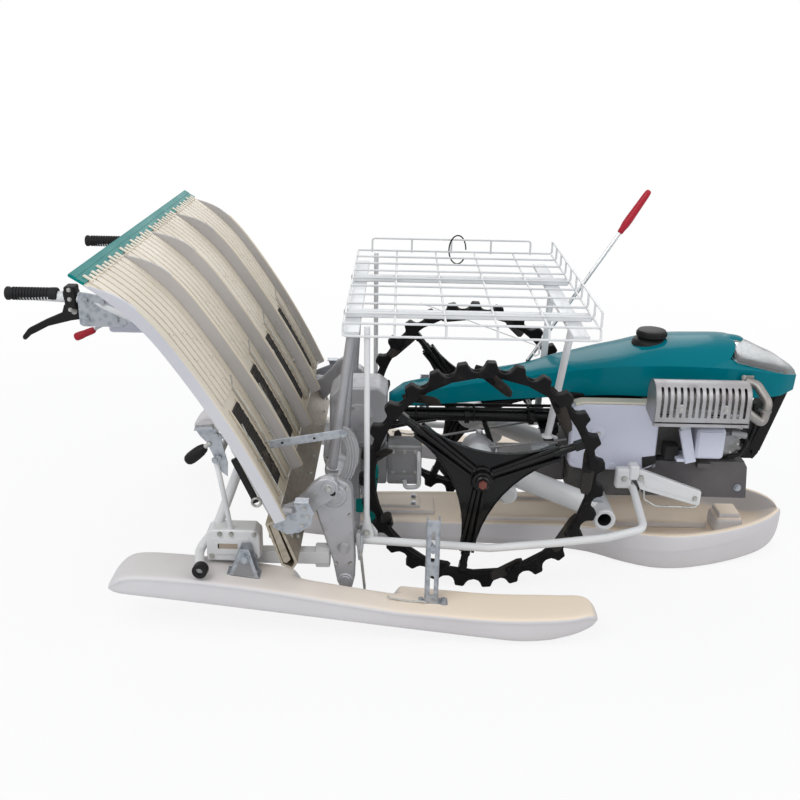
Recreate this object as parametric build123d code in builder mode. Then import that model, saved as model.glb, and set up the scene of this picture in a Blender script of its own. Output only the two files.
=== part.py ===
from build123d import *
import os
from math import cos, radians, sin

# Walk-behind rice transplanter for four rows, in millimetres. X points forwards, Y to the
# machine's left and Z up. The origin is on the ground below the middle of the machine.

# ---- driving sizes ----
SIDES = (("right", -1), ("left", 1))

# Wheels
axle_x = 135.0
track = 600.0
wheel_radius = 330.0            # over the tips of the lugs
rim_radius = 296.0              # to the middle of the rim tube
rim_tube_radius = 11.0
lug_count = 27
lug_foot = 62.0
lug_tip = 16.0
lug_width = 34.0
paddle_step = 3                 # every third lug carries a paddle
paddle_thickness = 9.0
paddle_height = 34.0
paddle_outer = (-62.0, 266.0, -11.0)    # offset along Y, radius, degrees ahead of the lug
paddle_inner = (40.0, 302.0, 7.0)
spoke_radius = 11.0
gusset_reach = 215.0
gusset_waist = 77.0
gusset_curve = 356.0            # radius of the hollow sides of the gusset plate
gusset_thickness = 5.0
hub_radius = 30.0
hub_length = 62.0
axle_radius = 12.5
axle_inner_y = track / 2 - 130  # inner end of each stub axle
shaft_clearance = 0.1
lowest_lug = 5.0                # degrees that the lowest lug is past the ground
lugs_to_spoke = {"right": 19, "left": 11}
paddle_first = {"right": 2, "left": 1}
axle_z = wheel_radius * cos(radians(lowest_lug)) + lug_tip / 2 * sin(radians(lowest_lug))
swing_case_y = track / 2 - 110

# Rows and planting cases
row_pitch = 300.0
planting_beam_x = -250.0
planting_beam_z = 350.0
planting_beam_radius = 30.0
case_thickness = 50.0
case_tip_z = 78.0

# Seedling tray: its profile starts at the foot and bends over backwards
tray_width = 1220.0
tray_foot_x = -378.5
tray_foot_z = 342.5
tray_foot_slope = 66.0
tray_bends = ((2360.0, 12.0), (560.0, 22.6))      # radius, turn in degrees
tray_sheet = 3.0
tray_wall_depth = 5.0           # behind the floor
tray_wall_height = 26.0         # in front of the floor
tray_wall_thickness = 9.0
tray_wall_taper = 120.0         # length over which the walls run out at the top
divider_thickness = 10.0
divider_height = 38.0
top_bar_width = 40.0
top_bar_thickness = 8.0
belt_width = 62.0
belt_thickness = 6.0
belt_start = 40.0
belt_end = 262.0
moving_gap = 6.0

# Floats
centre_float_wall = 14.0
side_float_y = 540.0
side_float_width = 130.0

# Seedling rack
rack_rear_x = -230.0
rack_front_x = 392.0
rack_half_width = 427.0
rack_z = 785.0
wire_radius = 3.0

# Frame
frame_tube_radius = 18.0
frame_tube_z = 394.0
side_pipe_radius = 11.0
side_pipe_y = rack_half_width - 3
handle_y = 330.0
handle_radius = 14.0
grip_radius = 17.0
grip_rear_x = -1073.0
grip_front_x = -945.0
grip_z = 822.0

os.makedirs("parts", exist_ok=True)


def finish(builder, name):
    """Labels a finished piece and writes it."""
    builder.part.label = name
    export_step(builder.part, f"parts/{name}.step")


def rod(start, end, radius, mode=Mode.ADD):
    """A round bar from start to end."""
    start, end = Vector(*start), Vector(*end)
    with BuildSketch(Plane(origin=start, z_dir=end - start)) as section:
        Circle(radius)
    extrude(section.sketch, amount=(end - start).length, mode=mode)


def bar(start, end, width, height, mode=Mode.ADD):
    """A flat bar from start to end, its width along Y."""
    start, end = Vector(*start), Vector(*end)
    with BuildSketch(Plane(origin=start, x_dir=(0, 1, 0), z_dir=end - start)) as section:
        Rectangle(width, height)
    extrude(section.sketch, amount=(end - start).length, mode=mode)


def pipe(points, bend, radius, mode=Mode.ADD):
    """A bent round tube through the points."""
    with BuildLine() as route:
        FilletPolyline(*points, radius=bend)
    with BuildSketch(Plane(origin=route.line @ 0, z_dir=route.line % 0)) as section:
        Circle(radius)
    sweep(section.sketch, path=route.line, mode=mode)


def plate(outline, y_low, y_high, mode=Mode.ADD):
    """A plate with an outline in X and Z, between two places along Y."""
    with BuildSketch(Plane.XZ.offset(-y_high)) as section:
        Polygon(*outline, align=None)
    extrude(section.sketch, amount=y_high - y_low, mode=mode)


def block(low, high, mode=Mode.ADD):
    """A box between its lowest and its highest corner."""
    size = [b - a for a, b in zip(low, high)]
    with BuildSketch(Plane.XY.offset(low[2])) as section:
        with Locations((low[0] + size[0] / 2, low[1] + size[1] / 2)):
            Rectangle(size[0], size[1])
    extrude(section.sketch, amount=size[2], mode=mode)


def ordered(sign, near, far):
    """Two distances from the middle as a low and a high place along Y, on one side."""
    return tuple(sorted((sign * near, sign * far)))


# ---- wheels ----
def wheel_point(y, offset, radius, angle):
    """A point in a wheel: offset along Y, radius, and degrees from forwards up."""
    return (
        axle_x + radius * cos(radians(angle)),
        y + offset,
        axle_z + radius * sin(radians(angle)),
    )


for side, sign in SIDES:
    wheel_y = sign * track / 2
    phase = 270 + lowest_lug - lugs_to_spoke[side] * 360 / lug_count
    wheel_plane = Plane(origin=(axle_x, wheel_y, axle_z), x_dir=(1, 0, 0), z_dir=(0, -1, 0))
    spoke_angles = [phase + 120 * k for k in range(3)]

    with BuildPart() as paddles:
        for k in range(lug_count // paddle_step):
            angle = phase + 360 * (k * paddle_step + paddle_first[side]) / lug_count
            offset, radius, lead = paddle_outer
            start = Vector(*wheel_point(wheel_y, -sign * offset, radius, angle + lead))
            offset, radius, lead = paddle_inner
            end = Vector(*wheel_point(wheel_y, -sign * offset, radius, angle + lead))
            radial = Vector(*wheel_point(0, 0, 1, angle)) - Vector(axle_x, 0, axle_z)
            with BuildSketch(Plane(origin=start, x_dir=radial, z_dir=end - start)) as paddle:
                Rectangle(paddle_height, paddle_thickness)
            extrude(paddle.sketch, amount=(end - start).length)

    with BuildPart() as rim:
        lug_seat = rim_radius + rim_tube_radius / 2
        with BuildSketch(wheel_plane.offset(-lug_width / 2)) as lugs:
            with PolarLocations(0, lug_count, start_angle=phase):
                Polygon(
                    (lug_seat, -lug_foot / 2),
                    (wheel_radius, -lug_tip / 2),
                    (wheel_radius, lug_tip / 2),
                    (lug_seat, lug_foot / 2),
                    align=None,
                )
        extrude(lugs.sketch, amount=lug_width)
        add(paddles.part)
        with BuildSketch(Plane(origin=(axle_x, wheel_y, axle_z), z_dir=(0, 0, 1))) as section:
            with Locations((rim_radius, 0)):
                Circle(rim_tube_radius)
        revolve(section.sketch, axis=Axis((axle_x, wheel_y, axle_z), (0, 1, 0)))
    finish(rim, f"{side}_wheel_rim")

    with BuildPart() as spider:
        with BuildSketch(wheel_plane.offset(-gusset_thickness / 2)) as gusset:
            with PolarLocations(0, 3, start_angle=phase):
                Rectangle(gusset_reach, gusset_reach, align=(Align.MIN, Align.CENTER))
            with PolarLocations(gusset_waist + gusset_curve, 3, start_angle=phase + 60):
                Circle(gusset_curve, mode=Mode.SUBTRACT)
        extrude(gusset.sketch, amount=gusset_thickness)
        for angle in spoke_angles:
            rod(
                wheel_point(wheel_y, 0, 0, angle),
                wheel_point(wheel_y, 0, rim_radius, angle),
                spoke_radius,
            )
        rod(
            (axle_x, wheel_y - hub_length / 2, axle_z),
            (axle_x, wheel_y + hub_length / 2, axle_z),
            hub_radius,
        )
        rod(
            (axle_x, sign * axle_inner_y, axle_z),
            (axle_x, wheel_y + sign * (hub_length / 2 + 12), axle_z),
            axle_radius,
        )
        add(rim.part, mode=Mode.SUBTRACT)
    finish(spider, f"{side}_wheel_spider")


# ---- centre float ----
# station along X, half width at the rim, heights of rim, chine and bottom
CENTRE_FLOAT = (
    (-480.0, 60.0, 84.0, 55.0, 34.0),
    (-250.0, 105.0, 92.0, 48.0, 22.0),
    (330.0, 112.0, 96.0, 46.0, 16.0),
    (480.0, 140.0, 104.0, 50.0, 10.0),
    (570.0, 190.0, 114.0, 60.0, 2.0),
    (650.0, 228.0, 124.0, 70.0, 0.0),
    (760.0, 222.0, 125.0, 76.0, 0.0),
    (870.0, 188.0, 126.0, 84.0, 4.0),
    (960.0, 142.0, 127.0, 90.0, 10.0),
    (1020.0, 98.0, 128.0, 94.0, 18.0),
    (1056.0, 56.0, 126.0, 98.0, 36.0),
    (1073.0, 26.0, 116.0, 98.0, 66.0),
)


def float_section(station, inset, floor):
    """One section of the centre float, drawn in by inset and with its bottom raised."""
    x, half_width, rim_z, chine_z, bottom_z = station
    side = half_width - inset
    low = bottom_z + floor
    chine = max(chine_z + floor * 0.6, low + 2)
    with BuildSketch(Plane(origin=(x, 0, 0), x_dir=(0, 1, 0), z_dir=(1, 0, 0))) as section:
        Polygon(
            (-side, rim_z + inset),
            (-side * 0.98, chine),
            (-side * 0.86, low),
            (side * 0.86, low),
            (side * 0.98, chine),
            (side, rim_z + inset),
            align=None,
        )
    return section.sketch


with BuildPart() as centre_float:
    loft([float_section(row, 0, 0) for row in CENTRE_FLOAT], ruled=True)
    tub = [row for row in CENTRE_FLOAT if 480 <= row[0] <= 1056]
    loft(
        [float_section(row, centre_float_wall, 30.0) for row in tub],
        ruled=True,
        mode=Mode.SUBTRACT,
    )
    block((880, -40, 30), (955, 40, 106))
    block((-330, -52, 88), (20, 52, 104))
finish(centre_float, "centre_float")

# ---- side floats ----
SIDE_FLOAT_PROFILE = (
    (-752, 124),
    (213, 8),
    (290, 9),
    (365, 28),
    (408, 44),
    (425, 60),
    (418, 78),
    (392, 92),
    (340, 86),
    (171, 80),
    (-79, 102),
    (-425, 160),
    (-572, 179),
    (-731, 190),
    (-770, 182),
    (-808, 142),
    (-800, 128),
)
SIDE_FLOAT_PLAN = (
    (-808, -45),
    (-780, -65),
    (240, -65),
    (370, -58),
    (410, -44),
    (425, -26),
    (425, 26),
    (410, 44),
    (370, 58),
    (240, 65),
    (-780, 65),
    (-808, 45),
)
PLANTING_NOTCH = ((-345, 104), (-308, 84), (-110, 62), (-80, 90), (-80, 130), (-345, 180))
side_float_inner = side_float_y - side_float_width / 2
side_float_outer = side_float_y + side_float_width / 2
for side, sign in SIDES:
    with BuildPart() as side_float:
        plate(SIDE_FLOAT_PROFILE, *ordered(sign, side_float_inner, side_float_outer))
        with BuildSketch(Plane.XY) as plan:
            with Locations((0, sign * side_float_y)):
                Polygon(*SIDE_FLOAT_PLAN, align=None)
        extrude(plan.sketch, amount=300, mode=Mode.INTERSECT)
        notch = ordered(sign, side_float_inner - 1, side_float_inner + 40)
        plate(PLANTING_NOTCH, *notch, mode=Mode.SUBTRACT)
    finish(side_float, f"{side}_side_float")
    if side == "right":
        right_side_float = side_float
    else:
        left_side_float = side_float

# ---- planting gear ----
ROWS = (-1.5, -0.5, 0.5, 1.5)
with BuildPart() as planting_beam:
    end_y = 1.5 * row_pitch - case_thickness / 2
    rod(
        (planting_beam_x, -end_y, planting_beam_z),
        (planting_beam_x, end_y, planting_beam_z),
        planting_beam_radius,
    )
finish(planting_beam, "planting_beam")

CASE_PROFILE = (
    (-298, 372),
    (-236, 396),
    (-204, 372),
    (-196, 165),
    (-208, case_tip_z),
    (-236, case_tip_z),
    (-252, 165),
    (-302, 318),
)
ARM_PROFILE = (
    (-402, 290),
    (-384, 322),
    (-352, 336),
    (-300, 396),
    (-270, 412),
    (-238, 398),
    (-240, 366),
    (-292, 322),
    (-330, 272),
    (-352, 250),
)
RAIL_PROFILE = ((-412, 318), (-380, 332), (-334, 214), (-346, 194), (-374, 204))
with BuildPart() as tray_rail:
    plate(RAIL_PROFILE, -570, 570)
finish(tray_rail, "tray_rail")

with BuildPart() as cases:
    for row in ROWS:
        y = row * row_pitch
        plate(CASE_PROFILE, y - case_thickness / 2, y + case_thickness / 2)
    for side, sign in SIDES:
        plate(ARM_PROFILE, *ordered(sign, 475, 500))
    add(planting_beam.part, mode=Mode.SUBTRACT)
    add(tray_rail.part, mode=Mode.SUBTRACT)
finish(cases, "planting_cases")

with BuildPart() as claws:
    for row in ROWS:
        y = row * row_pitch
        for prong in (-7, 7):
            rod((-189, y + prong, 215), (-172, y + prong, 70), 3.5)
        block((-196, y - 12, 205), (-183, y + 12, 240))
    add(cases.part, mode=Mode.SUBTRACT)
finish(claws, "planting_claws")

with BuildPart() as gear_case:
    block((-292, -70, 305), (-122, 70, 498))
    block((-122, -112, 215), (-20, -30, 340))
    block((-200, -112, 215), (-122, 0, 310))
    add(planting_beam.part, mode=Mode.SUBTRACT)
finish(gear_case, "rear_gear_case")

# ---- main frame, transmission and engine ----
with BuildPart() as main_frame:
    rod((-122, 0, frame_tube_z), (400, 0, frame_tube_z), frame_tube_radius)
    block((320, -132, 370), (350, 132, 377))
    bar((-122, 0, 350), (20, 0, 385), 16, 12)
    bar((190, 0, 300), (160, 0, 385), 34, 18)
    add(gear_case.part, mode=Mode.SUBTRACT)
finish(main_frame, "main_frame")

with BuildPart() as transmission:
    block((400, -112, 190), (618, 112, 486))
    block((60, -60, 215), (400, 60, 285))
    rod((150, 0, 285), (150, 0, 300), 52)
    with Locations((150, 0, 286)):
        Sphere(46)
    add(main_frame.part, mode=Mode.SUBTRACT)
finish(transmission, "transmission_case")

SIDE_CASE_PROFILE = (
    (392, 300),
    (440, 290),
    (600, 292),
    (640, 312),
    (640, 486),
    (615, 498),
    (420, 498),
    (392, 480),
)
with BuildPart() as side_case:
    plate(SIDE_CASE_PROFILE, -150, -112)
    block((735, -190, 345), (818, -112, 440))
finish(side_case, "side_covers")

with BuildPart() as engine:
    block((642, -112, 318), (890, 112, 496))
finish(engine, "engine_block")

BRACKET_PROFILE = ((618, 205), (921, 200), (911, 318), (618, 318))
bracket_half_width = 130.0
with BuildPart() as engine_bracket:
    plate(BRACKET_PROFILE, -bracket_half_width, bracket_half_width)
    add(side_case.part, mode=Mode.SUBTRACT)
finish(engine_bracket, "engine_bracket")

with BuildPart() as swing_cases:
    for side, sign in SIDES:
        y = sign * swing_case_y
        pivot_end_y = sign * (swing_case_y + 72)
        boss_y = sign * (swing_case_y + 56)
        rod((486, y, 190), (axle_x, y, axle_z), 32)
        rod((486, sign * 100, 190), (486, pivot_end_y, 190), 31)
        rod((axle_x, y - sign * 40, axle_z), (axle_x, boss_y, axle_z), 42)
        rod((215, y, 252), (215, boss_y, 252), 25)
        rod((486, y + sign * 10, 190), (486, pivot_end_y + sign, 190), 19, mode=Mode.SUBTRACT)
        rod(
            (axle_x, sign * (axle_inner_y - 5), axle_z),
            (axle_x, boss_y + sign, axle_z),
            axle_radius + shaft_clearance,
            mode=Mode.SUBTRACT,
        )
    add(transmission.part, mode=Mode.SUBTRACT)
finish(swing_cases, "swing_cases")

with BuildPart() as stays:
    for side, sign in SIDES:
        plate(((575, 323), (767, 252), (765, 209), (590, 256)), *ordered(sign, 180, 200))
        rod((590, sign * 112, 285), (590, sign * 180, 285), 11)
        rod((735, sign * 130, 240), (735, sign * 180, 240), 9)
    add(transmission.part, mode=Mode.SUBTRACT)
    add(side_case.part, mode=Mode.SUBTRACT)
finish(stays, "side_stays")

# ---- hood ----
# station along X, half width at the foot, at the crease and on top, heights of foot, crease and top
HOOD = (
    (-120.0, 22.0, 24.0, 12.0, 430.0, 448.0, 456.0),
    (-75.0, 36.0, 42.0, 28.0, 434.0, 474.0, 484.0),
    (5.0, 40.0, 48.0, 32.0, 440.0, 489.0, 499.0),
    (253.0, 46.0, 54.0, 34.0, 464.0, 534.0, 545.0),
    (388.0, 74.0, 84.0, 50.0, 488.0, 566.0, 579.0),
    (517.0, 100.0, 110.0, 60.0, 499.0, 588.0, 608.0),
    (650.0, 110.0, 126.0, 62.0, 499.0, 599.0, 642.0),
    (757.0, 111.0, 128.0, 60.0, 499.0, 598.0, 650.0),
    (860.0, 108.0, 122.0, 56.0, 500.0, 592.0, 650.0),
    (980.0, 90.0, 102.0, 46.0, 502.0, 574.0, 604.0),
    (1035.0, 56.0, 62.0, 32.0, 512.0, 558.0, 572.0),
)
LAMP_PROFILE = ((824, 616), (846, 640), (892, 700), (1060, 640), (1060, 556), (1030, 562))


def hood_section(row):
    """One section across the hood."""
    x, foot, crease, top, foot_z, crease_z, top_z = row
    with BuildSketch(Plane(origin=(x, 0, 0), x_dir=(0, 1, 0), z_dir=(1, 0, 0))) as section:
        Polygon(
            (-foot, foot_z),
            (foot, foot_z),
            (crease, crease_z),
            (top, top_z),
            (-top, top_z),
            (-crease, crease_z),
            align=None,
        )
    return section.sketch


with BuildPart() as hood:
    loft([hood_section(row) for row in HOOD], ruled=True)
    rod((862, -160, 500), (862, 160, 500), 34, mode=Mode.SUBTRACT)
    plate(LAMP_PROFILE, -150, 150, mode=Mode.SUBTRACT)
finish(hood, "hood")

with BuildPart() as headlamp:
    loft([hood_section(row) for row in HOOD], ruled=True)
    plate(LAMP_PROFILE, -150, 150, mode=Mode.INTERSECT)
finish(headlamp, "headlamp")

with BuildPart() as fuel_cap:
    rod((628, 0, 618), (628, 0, 644), 54)
    rod((628, 0, 618), (628, 0, 669), 43)
    add(hood.part, mode=Mode.SUBTRACT)
finish(fuel_cap, "fuel_cap")

GUARD_PROFILE = ((1022, 522), (994, 522), (925, 330), (911, 330), (911, 296), (948, 292), (964, 312))
with BuildPart() as front_guard:
    plate(GUARD_PROFILE, -60, 60)
    add(hood.part, mode=Mode.SUBTRACT)
    add(engine_bracket.part, mode=Mode.SUBTRACT)
finish(front_guard, "front_guard")

# ---- muffler ----
slot_count = 14
slot_pitch = 17.0
guard_y = -217.5
guard_z = 542.5
guard_radius = 47.5
with BuildPart() as muffler_guard:
    block((590, -265, 474), (845, -170, guard_z))
    rod((590, guard_y, guard_z), (845, guard_y, guard_z), guard_radius)
    block((594, -261, 478), (841, -160, guard_z), mode=Mode.SUBTRACT)
    rod((594, guard_y, guard_z), (841, guard_y, guard_z), guard_radius - 4, mode=Mode.SUBTRACT)
    for slot in range(slot_count):
        x = 604 + slot * slot_pitch
        block((x, -270, 492), (x + 7, -200, 576), mode=Mode.SUBTRACT)
finish(muffler_guard, "muffler_guard")

with BuildPart() as muffler:
    rod((594, guard_y, 536), (841, guard_y, 536), 35)
    block((655, -174, 470), (760, -112, 496))
    block((655, -200, 470), (760, -174, 500))
    pipe(((845, -200, 510), (900, -200, 450), (918, -190, 520), (872, -125, 560)), 22, 13)
    rod((830, -212, 524), (850, -198, 505), 13)
    add(hood.part, mode=Mode.SUBTRACT)
    add(muffler_guard.part, mode=Mode.SUBTRACT)
finish(muffler, "muffler")


# ---- seedling tray ----
def tray_arcs(offset, begin, end):
    """Start, middle and end of each arc of the tray's profile, set forwards by offset."""
    arcs = []
    corner = Vector(tray_foot_x, tray_foot_z)
    heading = 180 - tray_foot_slope
    done = 0.0
    for radius, turn in tray_bends:
        centre = corner + Vector(-sin(radians(heading)), cos(radians(heading))) * radius
        length = radius * radians(turn)
        low, high = max(begin, done), min(end, done + length)
        if high > low:
            stops = [radians(heading) + (s - done) / radius for s in (low, (low + high) / 2, high)]
            arcs.append([centre + Vector(sin(a), -cos(a)) * (radius + offset) for a in stops])
        heading += turn
        corner = centre + Vector(sin(radians(heading)), -cos(radians(heading))) * radius
        done += length
    return arcs


tray_length = sum(radius * radians(turn) for radius, turn in tray_bends)


def tray_strip(back, front, begin, end, y_low, y_high, mode=Mode.ADD):
    """A strip that follows the tray's profile between two depths, two lengths and two widths."""
    front_arcs = tray_arcs(front, begin, end)
    back_arcs = tray_arcs(back, begin, end)
    with BuildSketch(Plane.XZ.offset(-y_high)) as section:
        with BuildLine():
            for points in front_arcs + back_arcs:
                ThreePointArc(*points)
            Line(front_arcs[0][0], back_arcs[0][0])
            Line(front_arcs[-1][2], back_arcs[-1][2])
        make_face()
    extrude(section.sketch, amount=y_high - y_low, mode=mode)


def tray_point(offset, along):
    """A point beside the tray's profile: its offset forwards and its distance from the foot."""
    return tray_arcs(offset, along, along + 1)[0][0]


half_tray = tray_width / 2
taper_start = tray_length - tray_wall_taper
RUN_OUT = (
    tray_point(divider_height + 1, taper_start),
    tray_point(divider_height + 60, taper_start + 30),
    tray_point(divider_height + 60, tray_length - 1),
    tray_point(5, tray_length - 1),
)
with BuildPart() as tray:
    for side, sign in SIDES:
        edge = ordered(sign, half_tray - tray_wall_thickness, half_tray)
        tray_strip(-tray_wall_depth, tray_wall_height, 0, tray_length, *edge)
    for divider in (-1, 0, 1):
        y = divider * row_pitch
        edge = (y - divider_thickness / 2, y + divider_thickness / 2)
        tray_strip(0, divider_height, 0, tray_length, *edge)
    plate(RUN_OUT, -half_tray - 1, half_tray + 1, mode=Mode.SUBTRACT)
    tray_strip(-tray_sheet, 0, 0, tray_length, -half_tray, half_tray)
finish(tray, "seedling_tray")

with BuildPart() as belts:
    for row in ROWS:
        y = row * row_pitch
        tray_strip(0, belt_thickness, belt_start, belt_end, y - belt_width / 2, y + belt_width / 2)
finish(belts, "feed_belts")

with BuildPart() as top_bar:
    heading = radians(180 - tray_foot_slope + sum(turn for radius, turn in tray_bends))
    near = tray_point(0, tray_length - 2)
    far = near + Vector(cos(heading), sin(heading)) * top_bar_width
    bar((near.X, 0, near.Y), (far.X, 0, far.Y), tray_width, top_bar_thickness)
    add(tray.part, mode=Mode.SUBTRACT)
finish(top_bar, "tray_top_bar")

# ---- tray rail, rear frame and handles ----
HANDLE_ROUTE = (
    (grip_rear_x + 4, handle_y, grip_z),
    (-870, handle_y, grip_z - 9),
    (-624, 345, 714),
    (-500, 420, 450),
    (-402, 432, 266),
)
with BuildPart() as rear_frame:
    for side, sign in SIDES:
        low_y, high_y = ordered(sign, 432, 468)
        block((-570, low_y, 150), (-240, high_y, 188))
        low_y, high_y = ordered(sign, 460, 518)
        block((-570, low_y, 180), (-433, high_y, 273))
        pipe(
            ((-550, sign * 490, 262), (-592, sign * 490, 205), (-572, sign * 604, 203)),
            24,
            12,
        )
        rod((-576, sign * 580, 203.5), (-572, sign * 606, 203), 19)
        rod((-486, sign * 421, 425), (-555, sign * 475, 235), 13)
        upper, lower = [(x, sign * y, z) for x, y, z in HANDLE_ROUTE[3:5]]
        rod(upper, lower, handle_radius, mode=Mode.SUBTRACT)
    add(cases.part, mode=Mode.SUBTRACT)
    add(tray_rail.part, mode=Mode.SUBTRACT)
finish(rear_frame, "rear_frame")

with BuildPart() as handles:
    for side, sign in SIDES:
        pipe([(x, sign * y, z) for x, y, z in HANDLE_ROUTE], 60, handle_radius)
    add(rear_frame.part, mode=Mode.SUBTRACT)
    add(tray_rail.part, mode=Mode.SUBTRACT)
finish(handles, "handle_tubes")

with BuildPart() as grips:
    for side, sign in SIDES:
        rod(
            (grip_rear_x, sign * handle_y, grip_z),
            (grip_front_x, sign * handle_y, grip_z),
            grip_radius,
        )
    add(handles.part, mode=Mode.SUBTRACT)
finish(grips, "handle_grips")

# places along X and Z from the front end of the grip
LEVER_PROFILE = (
    (15, -25),
    (62, -25),
    (75, -59),
    (30, -65),
    (-30, -81),
    (-75, -104),
    (-91, -120),
    (-98, -111),
    (-81, -90),
    (-33, -65),
    (8, -47),
)
with BuildPart() as brake_levers:
    for side, sign in SIDES:
        low_y, high_y = ordered(sign, handle_y - 21, handle_y + 21)
        block(
            (grip_front_x + 20, low_y, grip_z - 33),
            (grip_front_x + 50, high_y, grip_z + 25),
        )
        outline = [(grip_front_x + x, grip_z + z) for x, z in LEVER_PROFILE]
        plate(outline, sign * handle_y - 7, sign * handle_y + 7)
    add(handles.part, mode=Mode.SUBTRACT)
finish(brake_levers, "brake_levers")

with BuildPart() as control_box:
    rod((-800, -327, 790), (-800, 327, 790), 11)
    block((-850, -255, 700), (-740, -170, 784))
    rod((-850, -200, 712), (-905, -200, 692), 5)
    rod((-900, -200, 694), (-957, -200, 670), 11)
    add(handles.part, mode=Mode.SUBTRACT)
finish(control_box, "control_bar")

with BuildPart() as handle_brackets:
    for side, sign in SIDES:
        low_y, high_y = ordered(sign, handle_y + 10, handle_y + 16)
        plate(((-892, 748), (-892, 836), (-800, 822), (-770, 742)), low_y, high_y)
    rod((-618, -450, 712), (-618, 450, 712), 9)
    for y in (-430, -150, 150, 430):
        rod((-618, y - 12, 712), (-618, y + 12, 712), 16)
    add(handles.part, mode=Mode.SUBTRACT)
finish(handle_brackets, "handle_brackets")

DEPTH_PLATE = (
    (-572, 562),
    (-526, 566),
    (-508, 520),
    (-500, 440),
    (-522, 470),
    (-548, 530),
)
with BuildPart() as depth_lever:
    plate(DEPTH_PLATE, -560, -556)
    block((-540, -428, 480), (-498, -392, 500))
    rod((-519, -426, 490), (-519, -556, 490), 8)
    rod((-536, -561, 528), (-556, -561, 512), 6)
    rod((-550, -561, 516), (-596, -561, 478), 15)
    rod((-524, -562, 480), (-506, -500, 262), 6.5)
    add(rear_frame.part, mode=Mode.SUBTRACT)
    upper, lower = [(x, -y, z) for x, y, z in HANDLE_ROUTE[2:4]]
    rod(upper, lower, handle_radius, mode=Mode.SUBTRACT)
finish(depth_lever, "depth_lever")

SECTOR_PROFILE = (
    (-228, 533),
    (-205, 518),
    (-188, 478),
    (-192, 428),
    (-215, 392),
    (-250, 380),
    (-236, 402),
    (-222, 438),
    (-220, 478),
    (-238, 503),
)
with BuildPart() as feed_link:
    plate(SECTOR_PROFILE, -456, -450)
    bar((-222, -453, 515), (-412, -453, 480), 5, 22)
    add(cases.part, mode=Mode.SUBTRACT)
finish(feed_link, "feed_link")

# ---- float mountings ----
with BuildPart() as float_stays:
    for side, sign in SIDES:
        low_y, high_y = ordered(sign, 525, 556)
        block((-34, low_y, 84), (42, high_y, 104))
        block((-17, low_y, 84), (17, high_y, 329))
        low_y, high_y = ordered(sign, 524, 552)
        block((-13, low_y, 106), (13, high_y, 330), mode=Mode.SUBTRACT)
        low_y, high_y = ordered(sign, 550, 558)
        block((-5, low_y, 215), (5, high_y, 300), mode=Mode.SUBTRACT)
        rod((0, sign * (side_pipe_y + 4), 196), (0, sign * 560, 250), 5.5)
    add(right_side_float.part, mode=Mode.SUBTRACT)
    add(left_side_float.part, mode=Mode.SUBTRACT)

with BuildPart() as float_hinges:
    for side, sign in SIDES:
        low_y, high_y = ordered(sign, 522, 562)
        plate(((-513, 150), (-431, 150), (-431, 166), (-513, 176)), low_y, high_y)
        for y in (522, 558):
            low_y, high_y = ordered(sign, y, y + 4)
            plate(((-505, 160), (-436, 160), (-455, 241), (-476, 241)), low_y, high_y)
        rod((-466, sign * 518, 216), (-466, sign * 572, 216), 8)
    add(right_side_float.part, mode=Mode.SUBTRACT)
    add(left_side_float.part, mode=Mode.SUBTRACT)
# ---- side pipes ----
with BuildPart() as side_pipes:
    for side, sign in SIDES:
        pipe(
            (
                (-198, sign * side_pipe_y, 204),
                (155, sign * side_pipe_y, 185),
                (336, sign * side_pipe_y, 205),
                (460, sign * (side_pipe_y - 6), 219),
                (568, sign * 372, 224),
                (570, sign * 205, 262),
                (560, sign * 108, 264),
            ),
            38,
            side_pipe_radius,
        )
    add(transmission.part, mode=Mode.SUBTRACT)
    add(side_case.part, mode=Mode.SUBTRACT)
    add(cases.part, mode=Mode.SUBTRACT)
finish(side_pipes, "side_pipes")

with BuildPart() as float_brackets:
    add(float_hinges.part)
    add(float_stays.part)
    add(side_pipes.part, mode=Mode.SUBTRACT)
finish(float_brackets, "side_float_brackets")

# ---- seedling rack ----
cross_wires = 6
long_wires = 10
support_z = rack_z - wire_radius
near_support_y = -268.0
far_support_y = 120.0
with BuildPart() as rack:
    for k in range(cross_wires):
        x = rack_rear_x + k * (rack_front_x - rack_rear_x) / (cross_wires - 1)
        rod((x, -rack_half_width, rack_z), (x, rack_half_width, rack_z), wire_radius)
    for k in range(long_wires):
        y = -rack_half_width + k * 2 * rack_half_width / (long_wires - 1)
        rod((rack_rear_x, y, rack_z + 5), (rack_front_x, y, rack_z + 5), wire_radius)
finish(rack, "rack_shelf")

fence_z = rack_z + 44.0
with BuildPart() as fences:
    rod((rack_front_x, -rack_half_width, fence_z), (rack_front_x, rack_half_width, fence_z), wire_radius)
    for k in range(long_wires):
        y = -rack_half_width + k * 2 * rack_half_width / (long_wires - 1)
        rod((rack_front_x, y, rack_z), (rack_front_x, y, fence_z), wire_radius)
    rod((rack_rear_x + 45, rack_half_width, fence_z), (rack_front_x - 70, rack_half_width, fence_z), wire_radius)
    for k in range(5):
        x = rack_rear_x + 45 + k * (rack_front_x - rack_rear_x - 115) / 4
        rod((x, rack_half_width, rack_z), (x, rack_half_width, fence_z), wire_radius)
    block((rack_rear_x - 32, -rack_half_width, rack_z + 9), (rack_rear_x + 3, rack_half_width, rack_z + 12))
    block((rack_rear_x - 32, -rack_half_width, rack_z + 9), (rack_rear_x - 29, rack_half_width, fence_z))
    edge_y = -rack_half_width - 8
    edge_z = rack_z - 25
    rod((rack_rear_x, edge_y, edge_z), (rack_front_x, edge_y, edge_z), wire_radius)
    for k in range(cross_wires):
        x = rack_rear_x + k * (rack_front_x - rack_rear_x) / (cross_wires - 1)
        rod((x, edge_y, edge_z), (x, -rack_half_width, rack_z), wire_radius)
    add(rack.part, mode=Mode.SUBTRACT)
finish(fences, "rack_fences")

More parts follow.
